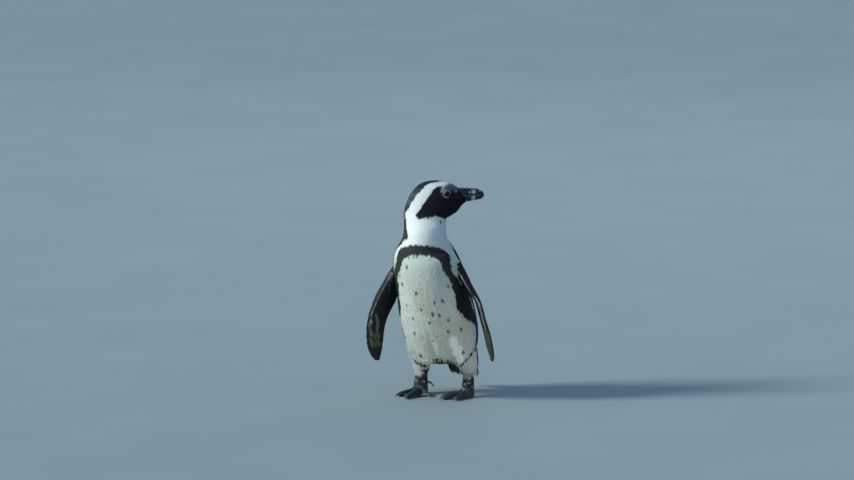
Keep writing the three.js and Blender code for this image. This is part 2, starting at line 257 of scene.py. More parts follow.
def in_white_line(p):
    """Where the tapering white lines lie."""
    found = np.zeros(len(p), bool)
    ragged = 1 + 0.2 * waves(p, 6, 23)
    for line in WHITE_LINES:
        for a, b in zip(np.array(line, float), np.array(line[1:], float)):
            way = b[:3] - a[:3]
            t = np.clip((p - a[:3]) @ way / (way @ way), 0, 1)
            off = np.linalg.norm(p - a[:3] - t[:, None] * way, axis=1)
            found |= off < (a[3] + (b[3] - a[3]) * t) * ragged
    return found


def thigh_line(p):
    """Where the band runs on as a thin ragged line over the front of each thigh."""
    line = np.minimum(*(line_distance(p, line) for line in THIGH_LINES))
    return line < 3.0 + 0.8 * waves(p, 11, 3)


LEG_UP = [54, 63, 76, 98, 126]
LEG_BLACK = {LEG_R: 106, LEG_L: 100}  # degrees round each leg from its front to its black back
LEG_AXIS = {
    LEG_R: ([-51, -51, -49, -45, -40], [-8, -8, -11, -18, -26]),
    LEG_L: ([51, 51, 49, 45, 40], [8, 8, 3, -8, -20]),
}


def leg_darkness(p, part):
    """Where the legs are black: down their backs, and in the line over each thigh."""
    dark = thigh_line(p)
    for leg, (xs, ys) in LEG_AXIS.items():
        dx, dy = p[:, 0] - curve(p[:, 2], LEG_UP, xs), p[:, 1] - curve(p[:, 2], LEG_UP, ys)
        off = np.abs(np.degrees(np.arctan2(dx, -dy)))
        dark |= (part == leg) & (off > LEG_BLACK[leg] + 6 * waves(p, 9, 16))
    return dark


def spot_tone(p):
    """How dark the belly's soft-edged spots are at each place."""
    angle, radius = trunk_angle(p)
    tone = np.zeros(len(p))
    for where, height, size in SPOTS:
        across = (angle - where) * math.pi / 180 * radius
        off = np.hypot(across, (p[:, 2] - height) * 0.85)
        tone = np.maximum(tone, step(size + 0.9 - off, 0, 2.0) * 0.9)
    return tone


def line_distance(p, line):
    """Distance from each place to a line through a few points."""
    best = np.full(len(p), 1e9)
    for a, b in zip(np.array(line, float), np.array(line[1:], float)):
        t = np.clip((p - a) @ (b - a) / ((b - a) @ (b - a)), 0, 1)
        best = np.minimum(best, np.linalg.norm(p - a - t[:, None] * (b - a), axis=1))
    return best


def head_darkness(p):
    """Where the head is black: in the mask round the face, and on the crown and nape."""
    ahead, _, up = head_coords(p)
    ahead, up = ahead + 0.9 * waves(p, 6, 17), up + 0.9 * waves(p, 6, 18)
    return inside(MASK, ahead, up) | inside(CROWN, ahead, up)


def darkness(p, part):
    """Where the plumage is black, on the trunk, neck, head and legs."""
    on_head = head_darkness(p)
    on_trunk = trunk_darkness(p)
    up = p[:, 2]
    head = (part == HEAD) | (up > SEAM + SEAM_REACH)
    near_seam = ~head & (up > SEAM - SEAM_REACH)
    dark = np.where(head, on_head, on_trunk)
    dark = np.where((part == LEG_L) | (part == LEG_R), leg_darkness(p, part), dark)
    return np.where(near_seam, on_head | (on_trunk & (up < SEAM)), dark)


# Flippers: [x, y, up, half the chord, heading of the leading edge], from the shoulder to the tip.
FLIPPERS = {
    FLIP_R: [
        (-54, -48, 298, 15, -20), (-78, -52, 267, 15.5, -40), (-95, -54, 230, 19.5, -55),
        (-109, -55, 200, 22.5, -60), (-127, -54, 164, 20.6, -60), (-135, -52, 132, 19.8, -60),
        (-138, -49, 103, 17.6, -60), (-137, -47, 84, 13.6, -60), (-135, -46, 66, 9, -60),
    ],
    FLIP_L: [
        (44, -50, 294, 15, 14), (64, -50, 272, 17.5, 24), (82, -45, 241, 20.5, 33),
        (97.5, -37, 211, 22.5, 40), (106, -31.5, 174, 20.6, 44), (112, -25, 145, 19.8, 48),
        (115.5, -19.5, 118, 17.6, 52), (118, -16, 100, 13.6, 54), (118, -14, 82, 9, 54),
    ],
}
DORSAL = {FLIP_R: -1, FLIP_L: 1}
FLIPPER_MARKS = {  # pale marks under the flippers: heights, places across, half widths and strength
    FLIP_R: [
        ([145, 147, 156, 171, 201, 232, 247, 258], [0.5, 0.56, 0.66, 0.7, 0.68, 0.7, 0.72, 0.7],
         [1, 2.6, 1.6, 1.3, 1.2, 1.3, 2.4, 4.2], 0.68),
        ([208, 213, 227, 256], [-0.1, -0.06, 0.2, 0.64], [0.6, 1, 1.6, 2], 0.22),
        ([120, 135, 149, 163, 169], [-0.2, -0.17, -0.13, 0.2, 0.24], [1, 3, 3.4, 2.2, 1], 0.34),
        ([118, 132, 141, 152], [0.42, 0.5, 0.68, 0.72], [1, 3.2, 3.4, 1.5], 0.3),
    ],
    FLIP_L: [
        ([204, 208, 224, 239, 254, 266, 274], [0.36, 0.41, 0.59, 0.75, 0.88, 0.9, 0.8],
         [0.6, 1, 1.2, 1.2, 1.2, 1.1, 0.8], 1),
        ([178, 189, 203, 216, 224], [0.7, 0.75, 0.8, 0.88, 0.92], [1, 3, 4, 2.6, 1], 0.75),
        ([88, 95, 115, 135, 156, 174, 184], [-0.5, -0.42, -0.11, 0.04, 0.57, 0.76, 0.8],
         [0.6, 1.2, 1.8, 1.9, 1.8, 1.5, 0.8], 0.85),
    ],
}


def flipper_coords(p, part):
    """Places on a flipper: along from 0 to 1, across from -1 to 1 at the leading edge, out on the
    dorsal side, and half the chord there."""
    rows = np.array(FLIPPERS[part], float)[::-1]
    up = p[:, 2]
    x, y, half, turn = (curve(up, rows[:, 2], rows[:, i]) for i in (0, 1, 3, 4))
    turn = np.radians(turn)
    dx, dy = p[:, 0] - x, p[:, 1] - y
    across = (dx * np.sin(turn) - dy * np.cos(turn)) / half
    out = (dx * np.cos(turn) + dy * np.sin(turn)) * DORSAL[part]
    along = (rows[-1, 2] - up) / (rows[-1, 2] - rows[0, 2])
    return along, across, out, half


BLACK = (0.010, 0.0115, 0.0135)
BAND_BLACK = (0.032, 0.032, 0.031)
SPOT = (0.030, 0.034, 0.034)
MASK_BLACK = (0.0038, 0.0042, 0.0085)
CROWN_BLACK = (0.005, 0.012, 0.025)
NECK_WHITE = (0.81, 0.82, 0.82)
BELLY_WHITE = (0.60, 0.63, 0.585)
BELLY_STAIN = (0.47, 0.48, 0.37)
TROUSER_WHITE = (0.60, 0.62, 0.60)
# Painted highlight on the left knee.
KNEE_PAINTED_HIGHLIGHT = (0.95, 0.965, 0.94)
FRINGE_DARK = (0.016, 0.018, 0.016)
FRINGE_BROWN = (0.06, 0.055, 0.042)
# Painted sheen: the grey glint of light on the black nape.
NAPE_PAINTED_SHEEN = (0.075, 0.085, 0.095)
RING_PINK = (0.24, 0.19, 0.205)
BROW_LILAC = (0.27, 0.24, 0.285)
# Painted shade: the pink skin over the eye, darkened to purple.
BROW_PAINTED_SHADE = (0.078, 0.066, 0.11)
PATCH_DARK = (0.012, 0.012, 0.019)
LID_DARK = (0.012, 0.011, 0.015)
WEDGE_WHITE = (0.52, 0.53, 0.53)
FLIPPER_PALE = (0.36, 0.35, 0.34)
FLIPPER_OLIVE = (0.12, 0.13, 0.085)
UNDER_BLACK = (0.009, 0.008, 0.011)
UNDER_GREY = (0.06, 0.065, 0.055)
SHIN_BLACK = (0.009, 0.011, 0.015)
FOOT_BLACK = (0.030, 0.038, 0.049)
FOOT_PALE = (0.42, 0.385, 0.40)

CHEST_FADE = (285, 335)  # the heights between which the belly's cream gives way to the neck's white
SHIN_PATCHES = [(-57, -20), (49, -6)]  # the bare patch's middle, at the right of each shin's front
SHIN_PATCH_SIZE = 16.5
STAINS = [(15, 196, 9, 16, 0.4), (13, 222, 20, 34, 0.62)]  # degrees round, up, half sizes, strength
FRINGE_X = [5, 15, 24, 34, 50]  # from the bird's middle to its left, and how high the fringe reaches
FRINGE_UP = [74, 86, 87.5, 84, 74]


def flipper_colour(p, part):
    """Black above and mottled below, with pale marks and olive stains, and a pale trailing edge."""
    along, across, out, half = flipper_coords(p, part)
    up = p[:, 2]
    under = step(-out, -0.5, 0.8)
    mottle = waves(p, 7, 5) + 0.9 * waves(p, 3.2, 6)
    colour = blend(BLACK, UNDER_BLACK, under)
    if part == FLIP_R:
        olive = step(up, 90, 102) * step(132 - up, 0, 14) * step(0.72 - np.abs(across), 0, 0.2)
        grey = 0.5 * step(across, 0.72, 0.85) * step(up, 150, 180)
        colour = blend(colour, UNDER_GREY, grey * under)
    else:
        olive = step(190 - up, 0, 20) * step(0.86 - across, 0, 0.12) * step(across, -0.95, -0.7) * 0.8
    olive = np.clip(olive * (0.55 + 0.5 * mottle), 0, 1)
    colour = blend(colour, FLIPPER_OLIVE, olive * under)
    for ups, centres, widths, strength in FLIPPER_MARKS[part]:
        off = np.abs(across - curve(up, ups, centres)) * half / curve(up, ups, widths)
        pale = step(1.35 - off, 0, 0.7) * (up > ups[0]) * (up < ups[-1]) * strength
        colour = blend(colour, FLIPPER_PALE, np.clip(pale * (0.75 + 0.45 * mottle), 0, 1) * under)
    trailing = step(-across, 0.88, 0.96) * step(along, 0.1, 0.25) * step(1 - along, 0.05, 0.15)
    colour = blend(colour, FLIPPER_PALE, 0.6 * trailing * (1 - under))
    return np.where(in_white_line(p)[:, None], WEDGE_WHITE, colour)


def foot_colour(p):
    """Dark scales, blotched with pink grey, and a bare patch at the top of each shin."""
    up = p[:, 2]
    blotch = waves(p, 12, 8) + 0.7 * waves(p, 5, 9)
    pale = step(blotch, 0.35, 0.9) * step(up, 8, 26) * step(56 - up, 8, 20) * 0.5
    web = step(blotch, -0.1, 0.8) * step(7 - up, 0, 2) * 0.35
    for x, y in SHIN_PATCHES:
        off = np.hypot(p[:, 0] - x, p[:, 1] - y) + 2.2 * blotch
        pale = np.maximum(pale, step(SHIN_PATCH_SIZE - off, 0, 4) * step(up, 36, 42))
    dark = blend(FOOT_BLACK, SHIN_BLACK, step(up, 12, 30))
    return blend(dark, FOOT_PALE, np.clip(pale * 0.95 + web, 0, 1))


def white_colour(p, part):
    """The white of the neck, belly and thighs, with its stains and spots, and a painted highlight on the
    left knee.
    """
    angle, _ = trunk_angle(p)
    up = p[:, 2]
    white = blend(BELLY_WHITE, NECK_WHITE, step(up, *CHEST_FADE))
    stain = 0.5 * step(waves(p, 60, 11), -0.3, 1) * step(230 - up, 0, 110) * step(up, 60, 90)
    for turn, height, wide, tall, strength in STAINS:
        stain += strength * np.exp(-(((angle - turn) / wide) ** 2) - ((up - height) / tall) ** 2)
    white = blend(white, BELLY_STAIN, np.clip(stain, 0, 1))
    legs = (part == LEG_L) | (part == LEG_R) | ((angle > 60) & (up < 150))
    white = np.where(legs[:, None], TROUSER_WHITE, white)
    # The left knee is lit up by a painted highlight.
    highlight = np.zeros(len(p))
    for x, y, height, size in KNEE_HIGHLIGHTS:
        off = np.hypot(np.hypot(p[:, 0] - x, p[:, 1] - y), (up - height) * 0.7) / size
        highlight = np.maximum(highlight, step(1.3 - off, 0, 0.7))
    white = blend(white, KNEE_PAINTED_HIGHLIGHT, highlight)
    return blend(white, SPOT, spot_tone(p) * (up < SEAM + SEAM_REACH + 1))


def black_colour(p):
    """The black of the plumage, a little browner across the chest."""
    angle, _ = trunk_angle(p)
    in_front = step(75 - np.abs(angle - BREAST_TURN), 0, 25) * step(p[:, 2], 215, 250)
    return blend(BLACK, BAND_BLACK, in_front)


def bare_colour(p):
    """The bare skin round the eye: lilac and, as painted shade on the pink skin, dark purple over it, a pink
    ring, and dark lids.
    """
    ahead, _, up = head_coords(p)
    off = eye_distance(ahead, up)
    # Over the eye the pink skin is painted dark purple, as shade.
    tone = blend(PATCH_DARK, BROW_PAINTED_SHADE, step(up, 436.5, 440) * (0.85 + 0.3 * waves(p, 7, 19)))
    tone = blend(tone, BROW_LILAC, step(up, 431, 436) * step(45 - ahead, 0, 7))
    tone = blend(tone, RING_PINK, np.exp(-(((off - 6.8) / 1.35) ** 2)))
    spot = np.hypot((ahead - 64) / 2.4, (up - 434.8) / 2.6)
    tone = blend(tone, RING_PINK, step(1.5 - spot, 0, 0.9) * 0.8)
    return blend(tone, LID_DARK, step(5.3 - off, 0, 0.6))


def head_colour(p, part, dark, colour):
    """The head's colours laid over the others, with a painted sheen on the nape, and where its skin is bare.
    """
    ahead, _, up = head_coords(p)
    on_head = (part == HEAD) | (up > SEAM)
    in_mask = on_head & inside(MASK, ahead, up)
    colour = np.where(in_mask[:, None], MASK_BLACK, colour)
    nape = on_head & dark & ~in_mask & (ahead < 20)
    # A grey painted sheen, a glint of light, lies on the black of the nape between heights 394 and 445.
    painted_sheen = np.clip(0.8 + 0.3 * waves(p, 14, 12), 0, 1) * step(up, 394, 410) * step(445 - up, 0, 18)
    colour = np.where(nape[:, None], blend(CROWN_BLACK, NAPE_PAINTED_SHEEN, painted_sheen), colour)
    patch = edge_distance(EYE_PATCH, ahead, up)
    bare = on_head & (patch < 0)
    # The white over the eye fades into the bare skin.
    fading = on_head & ~bare & (up > 437) & ~dark
    faded = blend(colour, BROW_LILAC, step(5 - patch, 0, 6))
    colour = np.where(fading[:, None], faded, colour)
    return np.where(bare[:, None], bare_colour(p), colour), bare


def fringe_colour(p, part, colour):
    """A dark ragged fringe between the legs, browner towards the left one, laid over the others."""
    x, y, up = p.T
    hem = np.where(y > -22, 84.5, curve(x, FRINGE_X, FRINGE_UP))
    fringe = step(hem + 3.2 * waves(p, 5, 14) - up, -2, 3.5) * (part == TRUNK) * (y > -84)
    brown = step(x, 26, 34) * step(50 - x, 0, 8) * step(-20 - y, 0, 12)
    return blend(colour, blend(FRINGE_DARK, FRINGE_BROWN, brown), 0.92 * fringe)


def plumage_colour(p, part):
    """The colour of coat and skin alike at each place, and where the skin is bare."""
    dark = darkness(p, part)
    colour = blend(white_colour(p, part), black_colour(p), dark)
    colour, bare = head_colour(p, part, dark, colour)
    colour = fringe_colour(p, part, colour)
    colour[part == TAIL] = BLACK
    for flipper in (FLIP_R, FLIP_L):
        mine = part == flipper
        if mine.any():
            colour[mine] = flipper_colour(p[mine], flipper)
    feet = part >= FOOT_R
    if feet.any():
        colour[feet] = foot_colour(p[feet])
    return colour, bare


# ------------------------------------------------------------------ mesh helpers
def linked(name, data):
    """A new object of the scene with a mesh, light or camera in it."""
    ob = bpy.data.objects.new(name, data)
    bpy.context.scene.collection.objects.link(ob)
    return ob


def merged(nodes, grow=0.0):
    """A bmesh of copies of CAD nodes, each closed up and made larger all round."""
    bm = bmesh.new()
    for node in nodes:
        bm.from_mesh(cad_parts[node].data)
    bmesh.ops.remove_doubles(bm, verts=bm.verts, dist=2e-6)
    bm.normal_update()
    moved = [v.co + v.normal * grow * MM for v in bm.verts]
    for vertex, place in zip(bm.verts, moved):
        vertex.co = place
    return bm


def remeshed(bm, voxel, rounds=3, islands=1):
    """The outside of a bmesh as an even mesh of small squares, in so many islands."""
    mesh = bpy.data.meshes.new("form")
    bm.to_mesh(mesh)
    bm.free()
    ob = linked("form", mesh)
    cut = ob.modifiers.new("cut", "REMESH")
    cut.mode = "VOXEL"
    cut.voxel_size = voxel * MM
    soften = ob.modifiers.new("soften", "SMOOTH")
    soften.iterations = rounds
    graph = bpy.context.evaluated_depsgraph_get()
    even = bpy.data.meshes.new_from_object(ob.evaluated_get(graph))
    bpy.data.objects.remove(ob)
    out = bmesh.new()
    out.from_mesh(even)
    bpy.data.meshes.remove(even)
    return largest(out, islands)


def largest(bm, islands=1):
    """Only the largest loose islands of a bmesh."""
    left, found = set(bm.verts), []
    while left:
        island, edge = [], [left.pop()]
        while edge:
            vertex = edge.pop()
            island.append(vertex)
            for link in vertex.link_edges:
                other = link.other_vert(vertex)
                if other in left:
                    left.remove(other)
                    edge.append(other)
        found.append(island)
    found.sort(key=len)
    keep = {v for island in found[-islands:] for v in island}
    bmesh.ops.delete(bm, geom=[v for v in bm.verts if v not in keep], context="VERTS")
    return bm


def finer(bm, chosen):
    """Cuts the faces whose middles pass the test into quarters."""
    faces = [f for f in bm.faces if chosen(f.calc_center_median())]
    edges = {e for f in faces for e in f.edges}
    bmesh.ops.subdivide_edges(bm, edges=list(edges), cuts=1, use_grid_fill=True)


def places(bm):
    """Where the vertices of a bmesh are, in millimetres from GROUND."""
    return to_mm([v.co for v in bm.verts])


def set_places(bm, p):
    for vertex, place in zip(bm.verts, to_frame(p)):
        vertex.co = place


def normals(bm):
    bm.normal_update()
    return np.array([v.normal for v in bm.verts])


def relax(bm, p, weight, rounds):
    """Moves each place towards the middle of its neighbours, by its own weight."""
    bm.verts.index_update()
    ends = np.array([(e.verts[0].index, e.verts[1].index) for e in bm.edges])
    count = np.bincount(ends.ravel(), minlength=len(p))[:, None]
    for _ in range(rounds):
        total = np.zeros_like(p)
        for axis in range(3):
            total[:, axis] = np.bincount(ends[:, 0], p[ends[:, 1], axis], len(p))
            total[:, axis] += np.bincount(ends[:, 1], p[ends[:, 0], axis], len(p))
        p = p + (total / count - p) * weight[:, None]
    return p


def cad_trees(nodes):
    """A search tree for the surface of each CAD node."""
    trees = []
    for node in nodes:
        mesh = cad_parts[node].data
        verts = [v.co.copy() for v in mesh.vertices]
        trees.append(BVHTree.FromPolygons(verts, [f.vertices[:] for f in mesh.polygons]))
    return trees


def nearest_part(p, nodes):
    """The nearest CAD part to each place, and the distance to every one of them."""
    far = np.full((len(p), len(nodes)), 99.0)
    spots = [Vector(q) for q in to_frame(p)]
    for column, (node, tree) in enumerate(zip(nodes, cad_trees(nodes))):
        low, high = to_mm(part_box(node))
        for i in np.nonzero(((p > low - 12) & (p < high + 12)).all(1))[0]:
            far[i, column] = tree.find_nearest(spots[i])[3] / MM
    return far.argmin(1), far


# ------------------------------------------------------------------ skin
# Rings of soft folds round each eye: radius, height and half width.
LID_FOLDS = [(7.2, 0.28, 0.7), (6.2, -0.25, 0.5), (9.2, 0.2, 0.8), (8.2, -0.2, 0.5)]


def shape_lids(p):
    """Opens the skin over each eye, with a thin raised rim and soft folds round it."""
    ahead, aside, up = head_coords(p)
    off = eye_distance(ahead, up)
    near = (off < 14) & (np.abs(aside) > 8)
    # The rim of the opening is one clean ring.
    ring = near & (np.abs(off - EYE_OPENING) < 0.45)
    pull = np.where(ring, EYE_OPENING / np.maximum(off, 0.1) - 1, 0)
    p = p + ((ahead - EYE_AHEAD) * pull)[:, None] * np.array(HEAD_AHEAD)
    p[:, 2] += (up - EYE_UP) * pull
    off = np.where(ring, EYE_OPENING, off)
    ball = EYE_ASIDE + np.sqrt(np.maximum(0, (EYE_RADIUS + 0.75) ** 2 - off**2))
    out = np.abs(aside) - 0.35 * step(12 - off, 0, 4)
    out = np.maximum(out, np.minimum(ball, out + 0.9))
    for radius, height, wide in LID_FOLDS:
        out += height * np.exp(-(((off - radius) / wide) ** 2))
    out = np.where(off < EYE_OPENING - 0.05, EYE_ASIDE + 2.0, out)
    change = np.where(near, (out - np.abs(aside)) * np.sign(aside), 0)
    return p + change[:, None] * np.array(HEAD_LEFT)


def fold(p, out):
    """Draws the skin in along the soft valleys of the lower belly."""
    for line, deep, wide in FOLDS:
        near = np.exp(-((line_distance(p, line) / wide) ** 2))
        p = p - out * (deep * near * step(150 - p[:, 2], 0, 30))[:, None]
    return p


def make_skin():
    """The skin of all but the feet: one even form of the CAD's, drawn in by the coat's depth."""
    bm = remeshed(merged(TRUNK_PARTS + ["eye_left", "eye_right"], grow=0.4), SKIN_VOXEL)
    head_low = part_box("head")[0].z
    eyes = [middle("eye_left"), middle("eye_right")]
    bill = middle("bill_upper")
    finer(bm, lambda c: c.z > head_low and (c - bill).length < FACE_REACH * MM)
    for reach in LID_REACHES:
        finer(bm, lambda c: min((c - e).length for e in eyes) < reach * MM)
    p = places(bm)
    part, far = nearest_part(p, TRUNK_PARTS)
    # Creases where limbs leave the trunk are softened.
    joints = np.zeros(len(p))
    for limb in (TAIL, LEG_R, LEG_L, FLIP_R, FLIP_L):
        both = np.maximum(far[:, limb], far[:, TRUNK])
        joints = np.maximum(joints, step(7 - both, 0, 5) * 0.6)
    ahead, _, up = head_coords(p)
    by_eye = (part == HEAD) & (eye_distance(ahead, up) < 9)
    p = relax(bm, p, np.where(part == HEAD, 0.0, joints), 14)
    p = relax(bm, p, np.where(by_eye, 0.5, 0.2 * (part < FLIP_R)), 6)
    set_places(bm, p)
    ahead, _, up = head_coords(p)
    depth = np.array(COAT_DEPTH)[part]
    depth -= 0.8 * step(ahead, 20, 60) * (part == HEAD)
    depth += 1.2 * step(up, 240, 285) * (part >= FLIP_R)
    out = normals(bm)
    p = fold(p - out * (depth + 0.2)[:, None], out)
    # The skin of the tail stops short, and the quills run on past it.
    drop = np.where(part == TAIL, np.maximum(TAIL_SKIN - p[:, 2], 0), 0)
    p[:, 2] += 0.38 * drop
    p[:, 1] -= 0.62 * 0.25 * drop
    set_places(bm, shape_lids(p))
    return bm


def make_feet():
    """The skin of the feet, with the tops of the shins run on up into the legs."""
    bm = remeshed(merged(FOOT_PARTS, grow=0.1), FOOT_VOXEL, 2, islands=2)
    p = places(bm)
    p[:, 2] += SHIN_RUN * step(p[:, 2], SCALES_TOP - 6, SCALES_TOP)
    set_places(bm, p)
    return bm


class Hide:
    """The finished skin as arrays, and what is nearest to any place on it."""

    def __init__(self, mesh, part):
        mesh.calc_loop_triangles()
        corners = np.zeros(len(mesh.loop_triangles) * 3, int)
        mesh.loop_triangles.foreach_get("vertices", corners)
        self.corners = corners.reshape(-1, 3)
        self.p = to_mm([v.co for v in mesh.vertices])
        a, b, c = (self.p[self.corners[:, i]] for i in range(3))
        cross = np.cross(b - a, c - a)
        self.area = np.linalg.norm(cross, axis=1) / 2
        self.out = unit(cross)
        self.middle = (a + b + c) / 3
        self.part = part[self.corners[:, 0]]
        spots = [Vector(q) for q in to_frame(self.p)]
        self.tree = BVHTree.FromPolygons(spots, self.corners.tolist())

    def spread(self, chosen, gap, rng):
        """Places scattered evenly over the chosen triangles, no closer together than the gap."""
        weight = np.where(chosen, self.area, 0)
        count = int(weight.sum() / gap**2 * 4)
        pick = rng.choice(len(weight), count, p=weight / weight.sum())
        u, v = rng.random((2, count, 1))
        over = u + v > 1
        u, v = np.where(over, 1 - u, u), np.where(over, 1 - v, v)
        a, b, c = (self.p[self.corners[pick, i]] for i in range(3))
        spots = a + (b - a) * u + (c - a) * v
        cells = np.floor(spots / gap).astype(int).tolist()
        held, kept = {}, []
        near = [(i, j, k) for i in (-1, 0, 1) for j in (-1, 0, 1) for k in (-1, 0, 1)]
        for index, ((x, y, z), spot) in enumerate(zip(cells, spots.tolist())):
            cells_near = (held.get((x + i, y + j, z + k), ()) for i, j, k in near)
            if not any(math.dist(spot, other) < gap for cell in cells_near for other in cell):
                held.setdefault((x, y, z), []).append(spot)
                kept.append(index)
        kept = np.array(kept)
        return spots[kept], self.out[pick[kept]], self.part[pick[kept]]

    def nearest(self, p):
        """The nearest place of the skin to each place, the way out there, and the distance."""
        at, out, far = np.zeros_like(p), np.zeros_like(p), np.zeros(len(p))
        for i, spot in enumerate(to_frame(p)):
            place, normal, _, distance = self.tree.find_nearest(spot)
            at[i], out[i], far[i] = place, normal, distance / MM
        return to_mm(at), out, far


# ------------------------------------------------------------------ feathers
def lie(p, part):
    """The way the feathers lie at each place, before it is laid along the skin."""
    up = p[:, 2]
    bill = to_mm(NECK_AXIS) + np.array(HEAD_AHEAD) * BILL_AHEAD
    bill[2] = BILL_UP
    from_bill = p - bill
    far = np.linalg.norm(from_bill, axis=1)
    # Over the head they lead away from the bill, and turn down as they leave it.
    head = unit(from_bill) + [0, 0, -1] * step(far, 25, 75)[:, None]
    way = blend([0.0, 0.22, -1.0], unit(head), step(up, 372, 400))
    way[part == TAIL] = [0, 0.5, -0.86]
    for flipper in (FLIP_R, FLIP_L):
        mine = part == flipper
        rows = np.array(FLIPPERS[flipper], float)[::-1]
        slope = [np.gradient(rows[:, i], rows[:, 2]) for i in (0, 1)]
        for axis in (0, 1):
            way[mine, axis] = -curve(up[mine], rows[:, 2], slope[axis])
        turn = np.radians(curve(up[mine], rows[:, 2], rows[:, 4]))
        way[mine, 0] -= 0.16 * np.sin(turn)
        way[mine, 1] += 0.16 * np.cos(turn)
        way[mine, 2] = -1
    return unit(way)


def flat_to(way, out):
    """A direction laid along the skin."""
    return unit(way - out * (way * out).sum(1)[:, None])


BODY_VANE = [(0, 0.6), (0.45, 1.0), (0.82, 0.66)]  # rows along a vane, and their widths
TAIL_X = -6  # the tail hangs a little to the right
TAIL_UP = [28, 32, 44, 62, 86, 112]
TAIL_BACK = [85, 84, 79, 70, 56, 30]
QUILL_VANE = [(0, 0.5), (0.12, 0.75), (0.3, 0.95), (0.5, 1), (0.7, 1), (0.85, 0.92), (0.95, 0.66)]
QUILL_LINE = [(92, 17, 12), (64, 27, 7.5)]  # root and middle: up, half the spread, half the depth
QUILL_END = 27
QUILL_ROWS = [(17, 1.0, 0, 6.2), (16, -0.75, 3, 6), (15, 0.2, 7, 5.6)]  # count, side, shortness, width
PATCH = 0.003  # size of one feather in the OFBake map
SCALE_GAP = 1.5
SCALE_DOME = 0.22  # a scale's rise as a share of its radius


def joined(name, points, faces, flat):
    """One smooth mesh of many small closed shapes: the points of each, the faces of one of them,
    and each point's place in the OFBake map."""
    n, count = points.shape[:2]
    corners = (faces[None] + (np.arange(n) * count)[:, None, None]).ravel()
    mesh = bpy.data.meshes.new(name)
    mesh.vertices.add(n * count)
    mesh.vertices.foreach_set("co", to_frame(points.reshape(-1, 3)).ravel())
    mesh.loops.add(len(corners))
    mesh.loops.foreach_set("vertex_index", corners)
    mesh.polygons.add(len(corners) // 3)
    mesh.polygons.foreach_set("loop_start", np.arange(0, len(corners), 3))
    mesh.polygons.foreach_set("use_smooth", np.ones(len(corners) // 3, bool))
    mesh.update(calc_edges=True)
    layer = mesh.uv_layers.new(name="OFBake")
    layer.data.foreach_set("uv", flat.reshape(-1, 2)[corners].ravel())
    return mesh


def vane_mesh(name, lines, outs, wide, crown, rows, roll, colour, rng, where):
    """Closed thin vanes, all in one mesh. lines holds each vane's root, middle and tip, outs the
    way out at each, and where each root's place in the unwrapped skin."""
    n, last = len(wide), len(rows)
    tip = last * 3
    points, vane = np.zeros((2, n, tip + 1, 3))
    chance = rng.random(n)
    for row, (t, width) in enumerate(rows + [(1, 0)]):
        w0, w1, w2 = (2 * t - 1) * (t - 1), 4 * t * (1 - t), t * (2 * t - 1)
        centre = lines[0] * w0 + lines[1] * w1 + lines[2] * w2
        if row == last:
            points[:, tip] = centre
            vane[:, tip] = np.stack([np.ones(n), chance, np.full(n, 0.5)], axis=1)
            continue
        along = unit(lines[0] * (4 * t - 3) + lines[1] * (4 - 8 * t) + lines[2] * (4 * t - 1))
        out = unit(outs[0] * (1 - t) + outs[2] * t)
        side = unit(np.cross(out, along))
        out = np.cross(along, side)
        half = (wide * width / 2)[:, None]
        tilt = out * roll[:, None] * half
        for column, aside in enumerate((1, 0, -1)):
            lift = out * crown * half * (1 - abs(aside))
            points[:, row * 3 + column] = centre + side * half * aside + tilt * aside + lift
            place = np.stack([np.full(n, t), chance, np.full(n, 0.5 + aside * width / 2)], axis=1)
            vane[:, row * 3 + column] = place
    faces = [(0, 2, 1)]
    for a in range(0, tip - 3, 3):
        b = a + 3
        faces += [(a, a + 1, b + 1), (a, b + 1, b), (a + 1, a + 2, b + 2), (a + 1, b + 2, b + 1)]
        faces += [(a + 2, a, b), (a + 2, b, b + 2)]
    a = tip - 3
    faces += [(a, a + 1, tip), (a + 1, a + 2, tip), (a + 2, a, tip)]
    flat = where[:, None] + (vane[:, :, [2, 0]] - 0.5) * PATCH
    mesh = joined(name, points, np.array(faces), flat)
    sharpen_rims(mesh, tip)
    put_colours(mesh, "plume", np.repeat(colour, tip + 1, axis=0))
    put_colours(mesh, "vane", vane.reshape(-1, 3))
    return mesh


def sharpen_rims(mesh, tip):
    """Marks the edges between the tops and undersides of vanes as sharp."""
    ends = np.zeros(len(mesh.edges) * 2, int)
    mesh.edges.foreach_get("vertices", ends)
    ends = ends.reshape(-1, 2) % (tip + 1)
    column = np.where(ends == tip, -1, ends % 3)
    low, high = column.min(1), column.max(1)
    rim = ((low == high) & (low != 1)) | ((low == -1) & (high != 1)) | (ends.max(1) < 3)
    mesh.attributes.new("sharp_edge", "BOOLEAN", "EDGE").data.foreach_set("value", rim)


def put_colours(mesh, name, colour):
    """Stores a colour for each vertex as an attribute."""
    full = np.ones((len(colour), 4))
    full[:, :3] = colour
    mesh.attributes.new(name, "FLOAT_COLOR", "POINT").data.foreach_set("color", full.ravel())


def unwrapped(p, part):
    """Each root's place on the skin unrolled flat: round it and up it, in a band for each limb."""
    angle, _ = trunk_angle(p)
    low, high = p[:, 2].min(), p[:, 2].max()
    across = (angle + 180) / 360
    for flipper in (FLIP_R, FLIP_L):
        mine = part == flipper
        if mine.any():
            _, chord, out, _ = flipper_coords(p[mine], flipper)
            sheet = np.clip((chord + 1.3) / 2.6, 0, 1) * 0.48
            across[mine] = np.where(out > 0, sheet, 0.52 + sheet)
    for leg, sign in ((LEG_R, -1), (LEG_L, 1)):
        mine = part == leg
        round_leg = np.arctan2(p[mine, 0] - sign * 48, -p[mine, 1]) / (2 * math.pi) + 0.5
        across[mine] = round_leg * 0.47 + (0.02 if sign < 0 else 0.51)
    up = (p[:, 2] - low) / (high - low)
    return np.stack([0.01 + across * 0.98, 0.01 + up * 0.98], axis=1)


